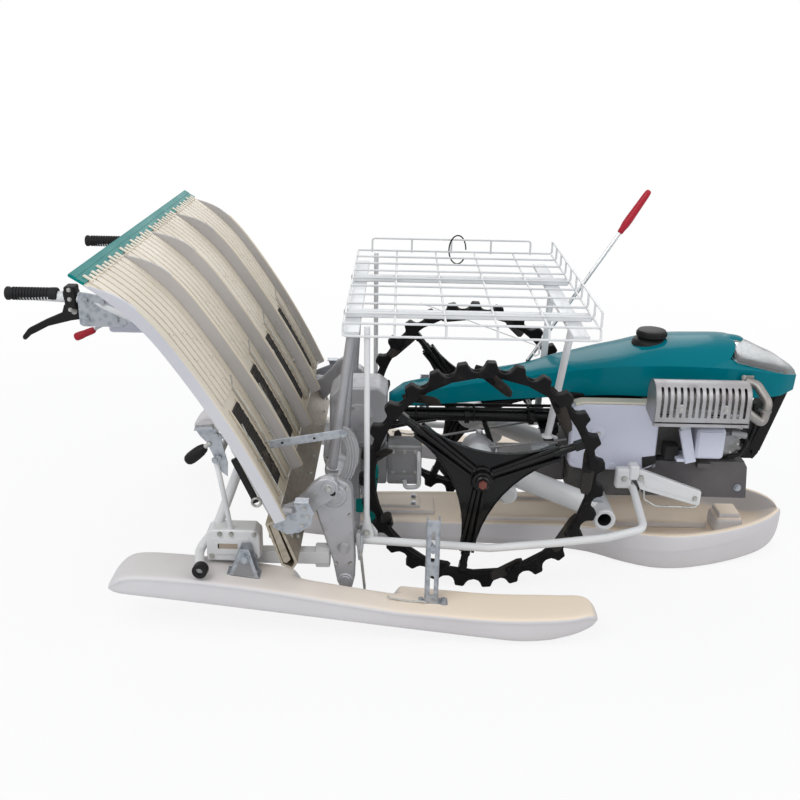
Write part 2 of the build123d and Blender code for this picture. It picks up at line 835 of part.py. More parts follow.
with BuildPart() as rails:
    for y in (near_support_y, far_support_y):
        block((rack_rear_x - 6, y - 10, support_z - 20), (rack_front_x + 6, y + 10, support_z))
    add(rack.part, mode=Mode.SUBTRACT)
finish(rails, "rack_rails")

with BuildPart() as crossbars:
    for x in (rack_rear_x - 4, rack_front_x - 62):
        half = rack_half_width - 20
        block((x, -half, support_z - 32), (x + 42, half, support_z - 20))
finish(crossbars, "rack_crossbars")

post_top = support_z - 32
with BuildPart() as posts:
    for side, sign in SIDES:
        rod((-216, sign * 255, post_top), (-236, sign * 255, 360), 11)
        rod((-212, sign * (side_pipe_y - 39), post_top), (-262, sign * 400, 360), 12)
        rod((-172, sign * side_pipe_y, support_z), (-168, sign * side_pipe_y, 200), 7.5)
    rod((352, near_support_y + 4, post_top), (333, -118, 377), 10)
    rod((352, far_support_y, post_top), (336, 120, 377), 10)
    add(planting_beam.part, mode=Mode.SUBTRACT)
    add(main_frame.part, mode=Mode.SUBTRACT)
    add(side_pipes.part, mode=Mode.SUBTRACT)
    add(crossbars.part, mode=Mode.SUBTRACT)
    add(rack.part, mode=Mode.SUBTRACT)
finish(posts, "rack_posts")

with BuildPart() as shift_lever:
    rod((300, 146, 520), (585, 146, 986), 6)
    rod((541, 146, 914), (616, 146, 1040), 12)
    rod((306, 0, frame_tube_z), (306, 146, frame_tube_z), 9)
    rod((306, 146, frame_tube_z - 8), (300, 146, 522), 7)
    add(main_frame.part, mode=Mode.SUBTRACT)
finish(shift_lever, "shift_lever")
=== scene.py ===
import logging
import math
from dataclasses import dataclass
from enum import Enum
from typing import Iterable, Sequence

import bmesh
import bpy
from mathutils import Matrix, Vector


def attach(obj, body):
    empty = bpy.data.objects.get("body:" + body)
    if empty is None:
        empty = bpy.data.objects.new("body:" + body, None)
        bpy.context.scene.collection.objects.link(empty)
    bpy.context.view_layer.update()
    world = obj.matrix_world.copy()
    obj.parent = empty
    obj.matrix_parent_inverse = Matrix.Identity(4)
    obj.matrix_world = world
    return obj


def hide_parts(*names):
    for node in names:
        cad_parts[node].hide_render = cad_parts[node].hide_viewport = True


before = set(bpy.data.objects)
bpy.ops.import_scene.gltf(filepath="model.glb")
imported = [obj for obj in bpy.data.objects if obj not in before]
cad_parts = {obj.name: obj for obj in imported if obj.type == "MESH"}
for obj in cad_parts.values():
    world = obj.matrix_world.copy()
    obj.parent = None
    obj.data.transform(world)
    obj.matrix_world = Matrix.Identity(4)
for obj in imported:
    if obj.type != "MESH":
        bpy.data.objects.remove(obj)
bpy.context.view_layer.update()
LOG = logging.getLogger("transplanter")
MM = 0.001
SIGNS = (-1, 1)
ROWS = (-1.5, -0.5, 0.5, 1.5)

Colour = tuple[float, float, float]
Flat = tuple[float, float]
Point = Sequence[float]
Socket = bpy.types.NodeSocket


# ---- finishes ----
class NodeSheet:
    """The nodes of one material, with short ways to add and join them."""

    def __init__(self, name: str) -> None:
        """Starts a material that holds one shader.

        Args:
            name: The material's name.
        """
        self.material = bpy.data.materials.new(name)
        self.material.use_nodes = True
        self.tree = self.material.node_tree
        self.shader = self.tree.nodes["Principled BSDF"]
        self.place = self.tree.nodes.new("ShaderNodeTexCoord").outputs["Object"]

    def node(self, kind: str, joined: dict[str | int, Socket], **numbers: float | Point) -> bpy.types.Node:
        """Adds a node.

        Args:
            kind: Its type, without the common first word.
            joined: The socket that feeds each of its inputs.
            numbers: The numbers set on its other inputs.

        Returns:
            The node.
        """
        node = self.tree.nodes.new("ShaderNode" + kind)
        for name, number in numbers.items():
            node.inputs[name.replace("_", " ")].default_value = number
        for name, socket in joined.items():
            self.tree.links.new(socket, node.inputs[name])
        return node

    def noise(self, scale: float, detail: float = 4.0, stretch: Point = (1, 1, 1)) -> Socket:
        """Adds a cloudy pattern from 0 to 1.

        Args:
            scale: Patches to a metre.
            detail: How many finer layers lie over it.
            stretch: The pattern's scale along X, Y and Z.

        Returns:
            The socket that carries the pattern.
        """
        place = self.node("Mapping", {"Vector": self.place}, Scale=tuple(stretch)).outputs["Vector"]
        return self.node("TexNoise", {"Vector": place}, Scale=scale, Detail=detail).outputs["Fac"]

    def cells(self, scale: float) -> Socket:
        """Gives the distance from the middles of rounded cells, so many to a metre."""
        return self.node("TexVoronoi", {"Vector": self.place}, Scale=scale).outputs["Distance"]

    def ramp(
        self, value: Socket, low: float, high: float, start: Colour = (0, 0, 0), end: Colour = (1, 1, 1)
    ) -> Socket:
        """Turns a value into a colour that runs from one to another.

        Args:
            value: The socket with the value.
            low: The value up to which the first colour holds.
            high: The value from which the second colour holds.
            start: The first colour.
            end: The second colour.

        Returns:
            The socket that carries the colour.
        """
        node = self.node("ValToRGB", {"Fac": value})
        stops = node.color_ramp.elements
        stops[0].position, stops[1].position = low, high
        stops[0].color, stops[1].color = (*start, 1.0), (*end, 1.0)
        return node.outputs["Color"]

    def cover(self, share: Socket, colour: Colour) -> None:
        """Lays a colour over the surface's own.

        Args:
            share: How far the colour covers it, from 0 to 1.
            colour: The colour.
        """
        node = self.tree.nodes.new("ShaderNodeMix")
        node.data_type = "RGBA"
        self.tree.links.new(share, node.inputs["Factor"])
        self.tree.links.new(self.shader.inputs["Base Color"].links[0].from_socket, node.inputs[6])
        node.inputs[7].default_value = (*colour, 1.0)
        self.plug("Base Color", node.outputs[2])

    def span(self, value: Socket, low: float, high: float, start: float, end: float) -> Socket:
        """Maps a value from one span to another.

        Args:
            value: The socket with the value.
            low: The lowest value taken.
            high: The highest value taken.
            start: What the lowest becomes.
            end: What the highest becomes.

        Returns:
            The socket that carries the mapped value.
        """
        limits = {"From_Min": low, "From_Max": high, "To_Min": start, "To_Max": end}
        return self.node("MapRange", {"Value": value}, **limits).outputs["Result"]

    def maths(self, operation: str, first: Socket, second: Socket) -> Socket:
        """Joins two values by an operation.

        Args:
            operation: The operation, by Blender's name.
            first: The first value.
            second: The second value.

        Returns:
            The outcome.
        """
        node = self.node("Math", {0: first, 1: second})
        node.operation = operation
        return node.outputs["Value"]

    def axis(self, vector: Socket, name: str) -> Socket:
        """Gives a vector's X, Y or Z."""
        return self.node("SeparateXYZ", {"Vector": vector}).outputs[name]

    def raise_by(self, value: Socket, depth: float) -> None:
        """Raises the surface by a pattern, over what raises it already.

        Args:
            value: The socket with the pattern.
            depth: The height of the full pattern, in metres.
        """
        node = self.node("Bump", {"Height": value}, Strength=0.6, Distance=depth)
        normal = self.shader.inputs["Normal"]
        if normal.is_linked:
            self.tree.links.new(normal.links[0].from_socket, node.inputs["Normal"])
        self.tree.links.new(node.outputs["Normal"], normal)

    def plug(self, name: str, value: Socket | float) -> None:
        """Sets one of the shader's inputs.

        Args:
            name: The input's name.
            value: Its number, or the socket that is joined to it.
        """
        if isinstance(value, Socket):
            self.tree.links.new(value, self.shader.inputs[name])
        else:
            self.shader.inputs[name].default_value = value


@dataclass(frozen=True)
class Finish:
    """A finish whose colour drifts in patches over a fine grain.

    Attributes:
        label: The material's name.
        colour: The main colour.
        drift: The colour that it drifts to.
        roughness: The roughness of the cleaner patches.
        wear: How much rougher the other patches are.
        metal: 1 for bare metal.
        coat: The share of clear coat.
        gloss: The strength of the surface's own reflection.
        patches: Patches to a metre.
        grain: Grains to a metre.
        depth: The grain's height, in metres.
    """

    label: str
    colour: Colour
    drift: Colour
    roughness: float = 0.4
    wear: float = 0.12
    metal: float = 0.0
    coat: float = 0.0
    gloss: float = 0.5
    patches: float = 6.0
    grain: float = 500.0
    depth: float = 0.0002

    def dress(self, sheet: NodeSheet) -> None:
        """Adds what only this kind of finish has to a sheet."""

    def material(self) -> bpy.types.Material:
        """Gives the finish's material, made once.

        Returns:
            The material.
        """
        if self.label in bpy.data.materials:
            return bpy.data.materials[self.label]
        sheet = NodeSheet(self.label)
        patch = sheet.noise(self.patches, 5.0)
        sheet.plug("Base Color", sheet.ramp(patch, 0.35, 0.68, self.colour, self.drift))
        sheet.plug("Roughness", sheet.span(patch, 0.3, 0.7, self.roughness, self.roughness + self.wear))
        sheet.plug("Metallic", self.metal)
        sheet.plug("Coat Weight", self.coat)
        sheet.plug("Specular IOR Level", self.gloss)
        sheet.plug("Coat Roughness", 0.06)
        sheet.raise_by(sheet.noise(self.grain, 3.0), self.depth)
        self.dress(sheet)
        return sheet.material


@dataclass(frozen=True)
class DustyRubber(Finish):
    """Black rubber with dry soil in its hollows and on its flats.

    Attributes:
        dust: The soil's colour.
        bare: The pattern value from which soil lies, lower for more of it.
    """

    dust: Colour = (0.12, 0.085, 0.055)
    bare: float = 0.56

    def dress(self, sheet: NodeSheet) -> None:
        """Adds the soil and its crumbs to a sheet."""
        sheet.cover(sheet.ramp(sheet.noise(28.0, 6.0), self.bare, self.bare + 0.16), self.dust)
        sheet.raise_by(sheet.cells(160.0), 0.0004)


@dataclass(frozen=True)
class CastMetal(Finish):
    """Sand-cast metal with a pitted skin and darker stains.

    Attributes:
        stain: The colour of the stains.
    """

    stain: Colour = (0.28, 0.28, 0.28)

    def dress(self, sheet: NodeSheet) -> None:
        """Adds stains and pits to a sheet."""
        sheet.cover(sheet.ramp(sheet.noise(17.0, 8.0), 0.56, 0.76, end=(0.8, 0.8, 0.8)), self.stain)
        sheet.raise_by(sheet.cells(420.0), 0.0003)


@dataclass(frozen=True)
class PlatedSteel(Finish):
    """Zinc-plated or rolled steel with spangles and drawn lines.

    Attributes:
        spangle: The colour of the spangles.
        lines: The pattern's scale along X, Y and Z, for lines drawn along one of them.
    """

    spangle: Colour = (0.75, 0.79, 0.84)
    lines: tuple[float, float, float] = (1.0, 1.0, 1.0)

    def dress(self, sheet: NodeSheet) -> None:
        """Adds spangles and drawn lines to a sheet."""
        sheet.cover(sheet.ramp(sheet.cells(70.0), 0.2, 0.62), self.spangle)
        sheet.raise_by(sheet.noise(90.0, 3.0, self.lines), 0.00012)


@dataclass(frozen=True)
class HotSteel(Finish):
    """Stainless steel that has turned straw and blue where it runs hot.

    Attributes:
        straw: The colour of the warm parts.
        blue: The colour of the hottest parts.
        cool_x: The place along X up to which it stays bright, in metres.
        hot_x: The place along X from which it is hottest, in metres.
    """

    straw: Colour = (0.50, 0.38, 0.20)
    blue: Colour = (0.23, 0.20, 0.22)
    cool_x: float = 0.72
    hot_x: float = 0.90

    def dress(self, sheet: NodeSheet) -> None:
        """Adds the heat tint to a sheet."""
        sheet.cover(sheet.span(sheet.axis(sheet.place, "X"), self.cool_x, self.hot_x, 0.0, 0.75), self.straw)
        sheet.cover(sheet.ramp(sheet.noise(22.0, 6.0), 0.55, 0.75, end=(0.7, 0.7, 0.7)), self.blue)


@dataclass(frozen=True)
class SoiledPaint(Finish):
    """Pale paint or plastic with soil that fades upwards.

    Attributes:
        soil: The soil's colour.
        low_z: The height up to which most soil lies, in metres.
        high_z: The height from which it is clean, in metres.
        share: The most that the soil covers.
    """

    soil: Colour = (0.45, 0.38, 0.27)
    low_z: float = 0.0
    high_z: float = 0.25
    share: float = 0.5

    def dress(self, sheet: NodeSheet) -> None:
        """Adds the fading soil to a sheet."""
        fade = sheet.span(sheet.axis(sheet.place, "Z"), self.low_z, self.high_z, self.share, 0.0)
        sheet.cover(sheet.maths("MULTIPLY", fade, sheet.noise(11.0, 7.0)), self.soil)


@dataclass(frozen=True)
class SunnedLitPlastic(SoiledPaint):
    """Soiled plastic whose up-facing faces are painted lighter and warmer: a sun-yellowed tint with painted
    top light.

    Attributes:
        sunned_and_lit: The colour of the faces that look up, a sun-yellowed tint brightened as painted top
            light.
    """

    sunned_and_lit: Colour = (0.95, 0.80, 0.63)

    def dress(self, sheet: NodeSheet) -> None:
        """Adds the soil and the painted top light on the warmer up-facing faces.

        Args:
            sheet: The nodes of the finish.
        """
        super().dress(sheet)
        # Painted top light: faces that look up, most towards the bow, take a lighter warm colour.
        facing = sheet.node("NewGeometry", {}).outputs["Normal"]
        top_light_share = sheet.span(sheet.axis(facing, "Z"), 0.45, 0.9, 0.0, 0.95)
        ahead = sheet.span(sheet.axis(sheet.place, "X"), -0.6, 0.1, 0.1, 1.0)
        sheet.cover(sheet.maths("MULTIPLY", top_light_share, ahead), self.sunned_and_lit)


@dataclass(frozen=True)
class ClearPlastic(Finish):
    """Clear moulded plastic.

    Attributes:
        clearness: The share of light that it lets through.
    """

    clearness: float = 0.9

    def dress(self, sheet: NodeSheet) -> None:
        """Makes a sheet's surface see-through."""
        sheet.plug("Transmission Weight", self.clearness)
        sheet.plug("IOR", 1.46)


TEAL_GLOSS = Finish(
    "teal_shell", (0.0, 0.170, 0.215), (0.0, 0.182, 0.228), 0.16, 0.05, coat=0.1, gloss=0.03, patches=2.5,
    depth=0.00006,
)
TEAL_TRIM = Finish("teal_trim", (0.0, 0.210, 0.195), (0.0, 0.180, 0.170), 0.36, 0.1, gloss=0.12, patches=9.0)
# Its up-facing faces are painted lighter and warmer: painted top light.
FLOAT_WHITE = SunnedLitPlastic(
    "float_white", (0.70, 0.685, 0.70), (0.66, 0.64, 0.66), 0.5, 0.14, patches=3.0, depth=0.00025,
    soil=(0.50, 0.42, 0.33), high_z=0.16, share=0.4,
)
# Below 0.64 m high the cream turns patchily to dark brown, most of all below 0.36 m.
TRAY_CREAM = SoiledPaint(
    "tray_cream", (0.72, 0.645, 0.53), (0.65, 0.58, 0.47), 0.42, patches=4.0, soil=(0.27, 0.22, 0.14),
    low_z=0.36, high_z=0.64, share=1.0,
)
TRAY_GREY = Finish("tray_grey", (0.47, 0.45, 0.44), (0.41, 0.39, 0.375), 0.5, patches=4.0)
TRAY_BLUE = Finish("tray_outer", (0.54, 0.54, 0.58), (0.60, 0.60, 0.63), 0.42, 0.1, patches=3.0)
# Painted shade, laid in grooves, drain holes and a slot.
GROOVE_SHADE = Finish("groove_shade", (0.32, 0.26, 0.20), (0.38, 0.31, 0.24), 0.7, 0.1)
FRAME_WHITE = SoiledPaint(
    "frame_white", (0.74, 0.75, 0.76), (0.68, 0.69, 0.71), 0.33, coat=0.2, patches=7.0,
    soil=(0.42, 0.36, 0.27), low_z=0.1, high_z=0.42, share=0.35,
)
WIRE_WHITE = Finish("wire_white", (0.74, 0.745, 0.75), (0.66, 0.67, 0.68), 0.35, coat=0.2, patches=9.0)
CASE_WHITE = Finish("case_white", (0.62, 0.635, 0.745), (0.57, 0.585, 0.69), patches=4.0)
CREAM_PAINT = Finish("cream_enamel", (0.64, 0.60, 0.50), (0.56, 0.52, 0.43), 0.4, 0.15)
OLIVE_GREY = Finish(
    "bracket_grey", (0.095, 0.088, 0.092), (0.125, 0.118, 0.115), 0.42, 0.15, gloss=0.3, patches=8.0
)
BLACK_STEEL = DustyRubber(
    "blacked_steel", (0.004, 0.004, 0.005), (0.008, 0.008, 0.008), 0.18, 0.14, coat=0.15, gloss=0.2,
    dust=(0.030, 0.026, 0.022), bare=0.72,
)
BLACK_RUBBER = DustyRubber(
    "lug_rubber", (0.006, 0.006, 0.007), (0.014, 0.013, 0.013), 0.42, 0.2, gloss=0.1,
    dust=(0.022, 0.019, 0.016), bare=0.6,
)
PADDLE_RUBBER = DustyRubber(
    "paddle_rubber", (0.014, 0.012, 0.011), (0.026, 0.021, 0.017), 0.5, 0.15, gloss=0.2,
    dust=(0.050, 0.040, 0.030), bare=0.58,
)
BELT_RUBBER = DustyRubber(
    "belt_rubber", (0.012, 0.011, 0.011), (0.030, 0.026, 0.022), 0.65, 0.15, gloss=0.2,
    dust=(0.085, 0.070, 0.052),
)
GRIP_RUBBER = Finish("ribbed_rubber", (0.013, 0.013, 0.014), (0.02, 0.02, 0.021), 0.6, gloss=0.2, grain=900.0)
BLACK_PLASTIC = Finish("moulded_black", (0.010, 0.010, 0.011), (0.018, 0.017, 0.017), 0.42, 0.15, gloss=0.15)
# Painted shade: near-black laid inside bores, holes, open tube ends and gaps.
BORE_SHADE = Finish("bore_shade", (0.008, 0.008, 0.009), (0.012, 0.011, 0.011), 0.8, 0.1)
CAST_ALLOY = CastMetal(
    "sand_cast_alloy", (0.45, 0.45, 0.475), (0.37, 0.37, 0.39), 0.42, 0.15, metal=0.55,
    stain=(0.24, 0.235, 0.23),
)
ALLOY_DARK = CastMetal(
    "alloy_grey", (0.33, 0.33, 0.34), (0.26, 0.26, 0.265), 0.5, 0.15, metal=0.5, stain=(0.12, 0.11, 0.10)
)
DARK_CAST = CastMetal(
    "dark_casting", (0.085, 0.083, 0.080), (0.13, 0.12, 0.115), 0.5, 0.2, metal=0.3,
    stain=(0.04, 0.036, 0.033),
)
ZINC = PlatedSteel(
    "zinc_plate", (0.36, 0.385, 0.42), (0.30, 0.325, 0.36), 0.36, 0.15, metal=0.75,
    spangle=(0.43, 0.455, 0.49),
)
BRONZE = PlatedSteel(
    "bronze_channel", (0.30, 0.27, 0.23), (0.36, 0.30, 0.20), 0.38, 0.15, metal=0.8,
    spangle=(0.42, 0.37, 0.30), lines=(1.0, 0.05, 1.0),
)
STAINLESS = HotSteel(
    "guard_steel", (0.45, 0.445, 0.46), (0.36, 0.35, 0.355), 0.34, 0.14, metal=0.85, straw=(0.42, 0.36, 0.28),
    cool_x=0.80, hot_x=1.20,
)
EXHAUST = HotSteel(
    "exhaust_steel", (0.36, 0.355, 0.35), (0.27, 0.26, 0.25), 0.34, 0.15, metal=0.85,
    straw=(0.33, 0.30, 0.27), cool_x=0.85, hot_x=0.96,
)
CHROME = PlatedSteel(
    "chrome", (0.75, 0.76, 0.77), (0.70, 0.71, 0.72), 0.10, 0.05, metal=1.0, spangle=(0.80, 0.81, 0.82)
)
BOLT_STEEL = PlatedSteel(
    "bolt_steel", (0.42, 0.42, 0.41), (0.35, 0.34, 0.32), 0.36, 0.15, metal=0.85, spangle=(0.50, 0.50, 0.48)
)
HUB_RED = Finish("hub_bolt", (0.22, 0.06, 0.045), (0.14, 0.05, 0.04), 0.5, 0.15, metal=0.3)
RED_GRIP = Finish("red_grip", (0.46, 0.018, 0.036), (0.38, 0.015, 0.03), 0.34, 0.1, coat=0.08, gloss=0.2)
LENS = ClearPlastic("lamp_clear", (0.95, 0.96, 0.97), (0.93, 0.95, 0.96), 0.05, 0.05, clearness=0.92)
CLEAR_BOX = ClearPlastic("clear_box", (0.85, 0.88, 0.90), (0.78, 0.82, 0.84), 0.15, 0.1, clearness=0.6)
PINK_WHITE = Finish("shelf_panel", (0.70, 0.655, 0.63), (0.64, 0.60, 0.575), 0.42, 0.1)


# ---- shapes ----
def turned(start: Point, direction: Point) -> Matrix:
    """Gives the frame at a start whose Z runs along a direction."""
    facing = Vector(direction).to_track_quat("Z", "Y").to_matrix().to_4x4()
    return Matrix.Translation(Vector(start)) @ facing


def circle(count: int, first: float = 0.0, step: float = 0.0) -> list[Flat]:
    """Gives the cosine and sine of angles round a circle.

    Args:
        count: How many angles.
        first: The first one in degrees.
        step: The degrees from one to the next, or 0 to share out the whole turn.

    Returns:
        The pairs of cosine and sine.
    """
    turns = (math.radians(first + k * (step or 360 / count)) for k in range(count))
    return [(math.cos(turn), math.sin(turn)) for turn in turns]


def rounded_route(points: Sequence[Point], bend: float, steps: int = 6) -> list[Vector]:
    """Rounds the corners of a route.

    Args:
        points: The route's corners.
        bend: The radius of each bend.
        steps: The parts that a bend is made of.

    Returns:
        The points of the rounded route.
    """
    corners = [Vector(p) for p in points]
    route = [corners[0]]
    for before, corner, after in zip(corners, corners[1:], corners[2:]):
        back, ahead = (before - corner).normalized(), (after - corner).normalized()
        half = back.angle(ahead) / 2
        reach = min(bend / math.tan(half), (before - corner).length * 0.48, (after - corner).length * 0.48)
        start, end = corner + back * reach, corner + ahead * reach
        for k in range(steps + 1):
            t = k / steps
            route.append(start * (1 - t) ** 2 + corner * 2 * t * (1 - t) + end * t**2)
    return route + [corners[-1]]


class Shape:
    """A piece in the making, measured in millimetres."""

    def __init__(self, name: str, finish: Finish) -> None:
        """Starts an empty piece.

        Args:
            name: The piece's name.
            finish: The finish that most of it has.
        """
        self.name = name
        self.finish = finish
        self.mesh = bmesh.new()
        self.finishes: list[Finish] = []

    def index(self, finish: Finish | None) -> int:
        """Lists a finish among the piece's finishes.

        Args:
            finish: The finish, or None for the piece's own.

        Returns:
            Its place in the list.
        """
        finish = finish or self.finish
        if finish not in self.finishes:
            self.finishes.append(finish)
        return self.finishes.index(finish)

    def absorb(self, part: bmesh.types.BMesh) -> None:
        """Copies a part into the piece.

        Args:
            part: The part, which is freed.
        """
        scratch = bpy.data.meshes.new("scratch")
        part.to_mesh(scratch)
        part.free()
        self.mesh.from_mesh(scratch)
        bpy.data.meshes.remove(scratch)

    def take(
        self, part: bmesh.types.BMesh, finish: Finish | None, bevel: float = 0.0, segments: int = 2,
        angle: float = 30.0,
    ) -> None:
        """Bevels a part's edges and joins it to the piece.

        Args:
            part: The part, which is used up.
            finish: Its finish, or None for the piece's own, here and in all that follows.
            bevel: The width of its bevels.
            segments: The parts that a bevel is made of.
            angle: The angle in degrees from which an edge is bevelled.
        """
        bmesh.ops.recalc_face_normals(part, faces=part.faces)
        if bevel:
            limit = math.radians(angle)
            sharp = [e for e in part.edges if len(e.link_faces) == 2 and e.calc_face_angle(0.0) > limit]
            bmesh.ops.bevel(
                part, geom=sharp, offset=bevel, offset_type="OFFSET", segments=segments, profile=0.5,
                affect="EDGES", clamp_overlap=True, material=-1,
            )
        index = self.index(finish)
        for face in part.faces:
            face.material_index = index
        self.absorb(part)

    def block(self, place: Matrix, size: Point, bevel: float, segments: int, finish: Finish | None) -> None:
        """Adds a box of a size, in the frame of a matrix.

        Args:
            place: The frame at its middle.
            size: Its three sides.
            bevel: The width of its bevels.
            segments: The parts that a bevel is made of.
            finish: Its finish.
        """
        part = bmesh.new()
        bmesh.ops.create_cube(part, size=1.0, matrix=place @ Matrix.Diagonal((*size, 1)))
        self.take(part, finish, min(bevel, min(size) * 0.4), segments)

    def box(
        self, start: Point, end: Point, bevel: float = 1.5, segments: int = 2, finish: Finish | None = None
    ) -> None:
        """Adds a box between two corners.

        Args:
            start: One of its corners.
            end: The corner across from it.
            bevel: The width of its bevels.
            segments: The parts that a bevel is made of.
            finish: Its finish.
        """
        low = Vector([min(pair) for pair in zip(start, end)])
        high = Vector([max(pair) for pair in zip(start, end)])
        self.block(Matrix.Translation((low + high) / 2), high - low, bevel, segments, finish)

    def slab(
        self, centre: Point, size: Point, along: Point, bevel: float = 1.0, roll: float = 0.0,
        finish: Finish | None = None,
    ) -> None:
        """Adds a box whose length follows a direction.

        Args:
            centre: Its middle.
            size: Its size across, up and along.
            along: The direction of its length.
            bevel: The width of its bevels.
            roll: Its turn about its length, in degrees.
            finish: Its finish.
        """
        place = turned(centre, along) @ Matrix.Rotation(math.radians(roll), 4, "Z")
        self.block(place, size, bevel, 2, finish)

    def box_at(
        self, centre: Point, size: Point, along: Point, bevel: float = 1.5, finish: Finish | None = None
    ) -> None:
        """Adds a box in the XZ plane whose first side follows a direction.

        Args:
            centre: Its middle.
            size: Its size along the direction, along Y and across both.
            along: The direction.
            bevel: The width of its bevels.
            finish: Its finish.
        """
        way, across = Vector((along[0], 0, along[2])).normalized(), Vector((0, 1, 0))
        axes = Matrix((way, across, way.cross(across))).transposed().to_4x4()
        self.block(Matrix.Translation(Vector(centre)) @ axes, size, bevel, 2, finish)

    def rod(
        self, start: Point, end: Point, radius: float, sides: int = 20, bevel: float = 0.8,
        finish: Finish | None = None,
    ) -> None:
        """Adds a round bar.

        Args:
            start: The middle of its first end.
            end: The middle of its other end.
            radius: Its radius.
            sides: The number of its sides.
            bevel: The width of the bevels at its ends.
            finish: Its finish.
        """
        part = bmesh.new()
        run = Vector(end) - Vector(start)
        bmesh.ops.create_cone(
            part, cap_ends=True, segments=sides, radius1=radius, radius2=radius, depth=run.length,
            matrix=turned((Vector(start) + Vector(end)) / 2, run),
        )
        self.take(part, finish, min(bevel, run.length * 0.3), 2, 50.0)

    def tube(
        self, points: Sequence[Point], radius: float, bend: float = 30.0, finish: Finish | None = None
    ) -> None:
        """Adds a bent round bar.

        Args:
            points: The corners that it passes.
            radius: Its radius.
            bend: The radius of its bends.
            finish: Its finish.
        """
        route = rounded_route(points, bend)
        curve = bpy.data.curves.new("route", "CURVE")
        curve.dimensions = "3D"
        line = curve.splines.new("POLY")
        line.points.add(len(route) - 1)
        for point, place in zip(line.points, route):
            point.co = (*place, 1.0)
        curve.bevel_depth = radius
        curve.bevel_resolution = 3 if radius < 6 else 5
        curve.use_fill_caps = True
        holder = bpy.data.objects.new("route", curve)
        made = bpy.data.meshes.new_from_object(holder)
        part = bmesh.new()
        part.from_mesh(made)
        bmesh.ops.remove_doubles(part, verts=part.verts, dist=0.001)
        bpy.data.objects.remove(holder)
        bpy.data.curves.remove(curve)
        bpy.data.meshes.remove(made)
        self.take(part, finish)

    def plate(
        self, outline: Sequence[Flat], start: float, end: float, bevel: float = 1.0, segments: int = 2,
        along_x: bool = False, finish: Finish | None = None,
    ) -> None:
        """Adds a plate from its outline.

        Args:
            outline: Its corners, as X and Z, or as Y and Z for a plate along X.
            start: One of its faces along Y.
            end: Its other face.
            bevel: The width of its bevels.
            segments: The parts that a bevel is made of.
            along_x: Whether its thickness runs along X instead.
            finish: Its finish.
        """
        part = bmesh.new()
        low, thick = min(start, end), abs(end - start)
        corners = [(low, u, v) if along_x else (u, low, v) for u, v in outline]
        face = part.faces.new([part.verts.new(corner) for corner in corners])
        raised = bmesh.ops.extrude_face_region(part, geom=[face])
        verts = [g for g in raised["geom"] if isinstance(g, bmesh.types.BMVert)]
        bmesh.ops.translate(part, vec=(thick, 0, 0) if along_x else (0, thick, 0), verts=verts)
        self.take(part, finish, min(bevel, thick * 0.4), segments, 20.0)

    def sweep(
        self, part: bmesh.types.BMesh, start: Point, direction: Point, steps: int, finish: Finish | None
    ) -> None:
        """Turns a part's edges once about Z, and sets what they sweep on an axis.

        Args:
            part: The part, whose edges lie beside Z.
            start: The axis's origin.
            direction: Where the axis points.
            steps: The parts that the turn is made of.
            finish: Its finish.
        """
        bmesh.ops.spin(
            part, geom=list(part.verts) + list(part.edges), cent=(0, 0, 0), axis=(0, 0, 1), angle=math.tau,
            steps=steps, use_merge=True, use_duplicate=False,
        )
        bmesh.ops.remove_doubles(part, verts=part.verts, dist=0.001)
        bmesh.ops.transform(part, matrix=turned(start, direction), verts=part.verts)
        self.take(part, finish)

    def turn(
        self, profile: Sequence[Flat], start: Point, direction: Point, steps: int = 40,
        finish: Finish | None = None,
    ) -> None:
        """Adds a turned part.

        Args:
            profile: Its radius and its place along the axis, from one end to the other.
            start: The axis's origin.
            direction: Where the axis points.
            steps: The parts that the turn is made of.
            finish: Its finish.
        """
        part = bmesh.new()
        verts = [part.verts.new((r, 0, z)) for r, z in profile]
        for pair in zip(verts, verts[1:]):
            part.edges.new(pair)
        self.sweep(part, start, direction, steps, finish)

    def ring(
        self, centre: Point, direction: Point, radius: float, thickness: float, steps: int = 48,
        sides: int = 12, finish: Finish | None = None,
    ) -> None:
        """Adds a round ring.

        Args:
            centre: Its middle.
            direction: The direction of its axis.
            radius: From its middle to the middle of its bar.
            thickness: The radius of its bar.
            steps: The parts that the ring is made of.
            sides: The sides of its bar.
            finish: Its finish.
        """
        part = bmesh.new()
        across = Matrix.Translation((radius, 0, 0)) @ Matrix.Rotation(math.pi / 2, 4, "X")
        bmesh.ops.create_circle(part, segments=sides, radius=thickness, matrix=across)
        self.sweep(part, centre, direction, steps, finish)

    def ball(self, centre: Point, size: Point, sides: int = 24, finish: Finish | None = None) -> None:
        """Adds a ball, stretched along the axes.

        Args:
            centre: Its middle.
            size: Half its length, width and height.
            sides: The sides round its equator.
            finish: Its finish.
        """
        part = bmesh.new()
        stretch = Matrix.Translation(centre) @ Matrix.Diagonal((*size, 1))
        bmesh.ops.create_uvsphere(part, u_segments=sides, v_segments=sides // 2, radius=1.0, matrix=stretch)
        self.take(part, finish)

    def bolt(
        self, place: Point, direction: Point, size: float, finish: Finish = BOLT_STEEL, washer: bool = True,
        reach: float = 0.0,
    ) -> None:
        """Adds a hexagon bolt head with its washer.

        Args:
            place: The middle of its seat.
            direction: Where its head points.
            size: The width of its head across the corners.
            finish: Its finish.
            washer: Whether it has a washer.
            reach: The length of thread that stands out of the head.
        """
        start, way = Vector(place), Vector(direction).normalized()
        if washer:
            seat, start = start, start + way * size * 0.1
            self.rod(seat, start, size * 0.62, 18, 0.3, finish)
        top = start + way * size * 0.42
        self.rod(start, top, size * 0.5, 6, size * 0.05, finish)
        self.rod(top, top + way * (reach or size * 0.06), size * 0.26, 12, 0.3, finish)

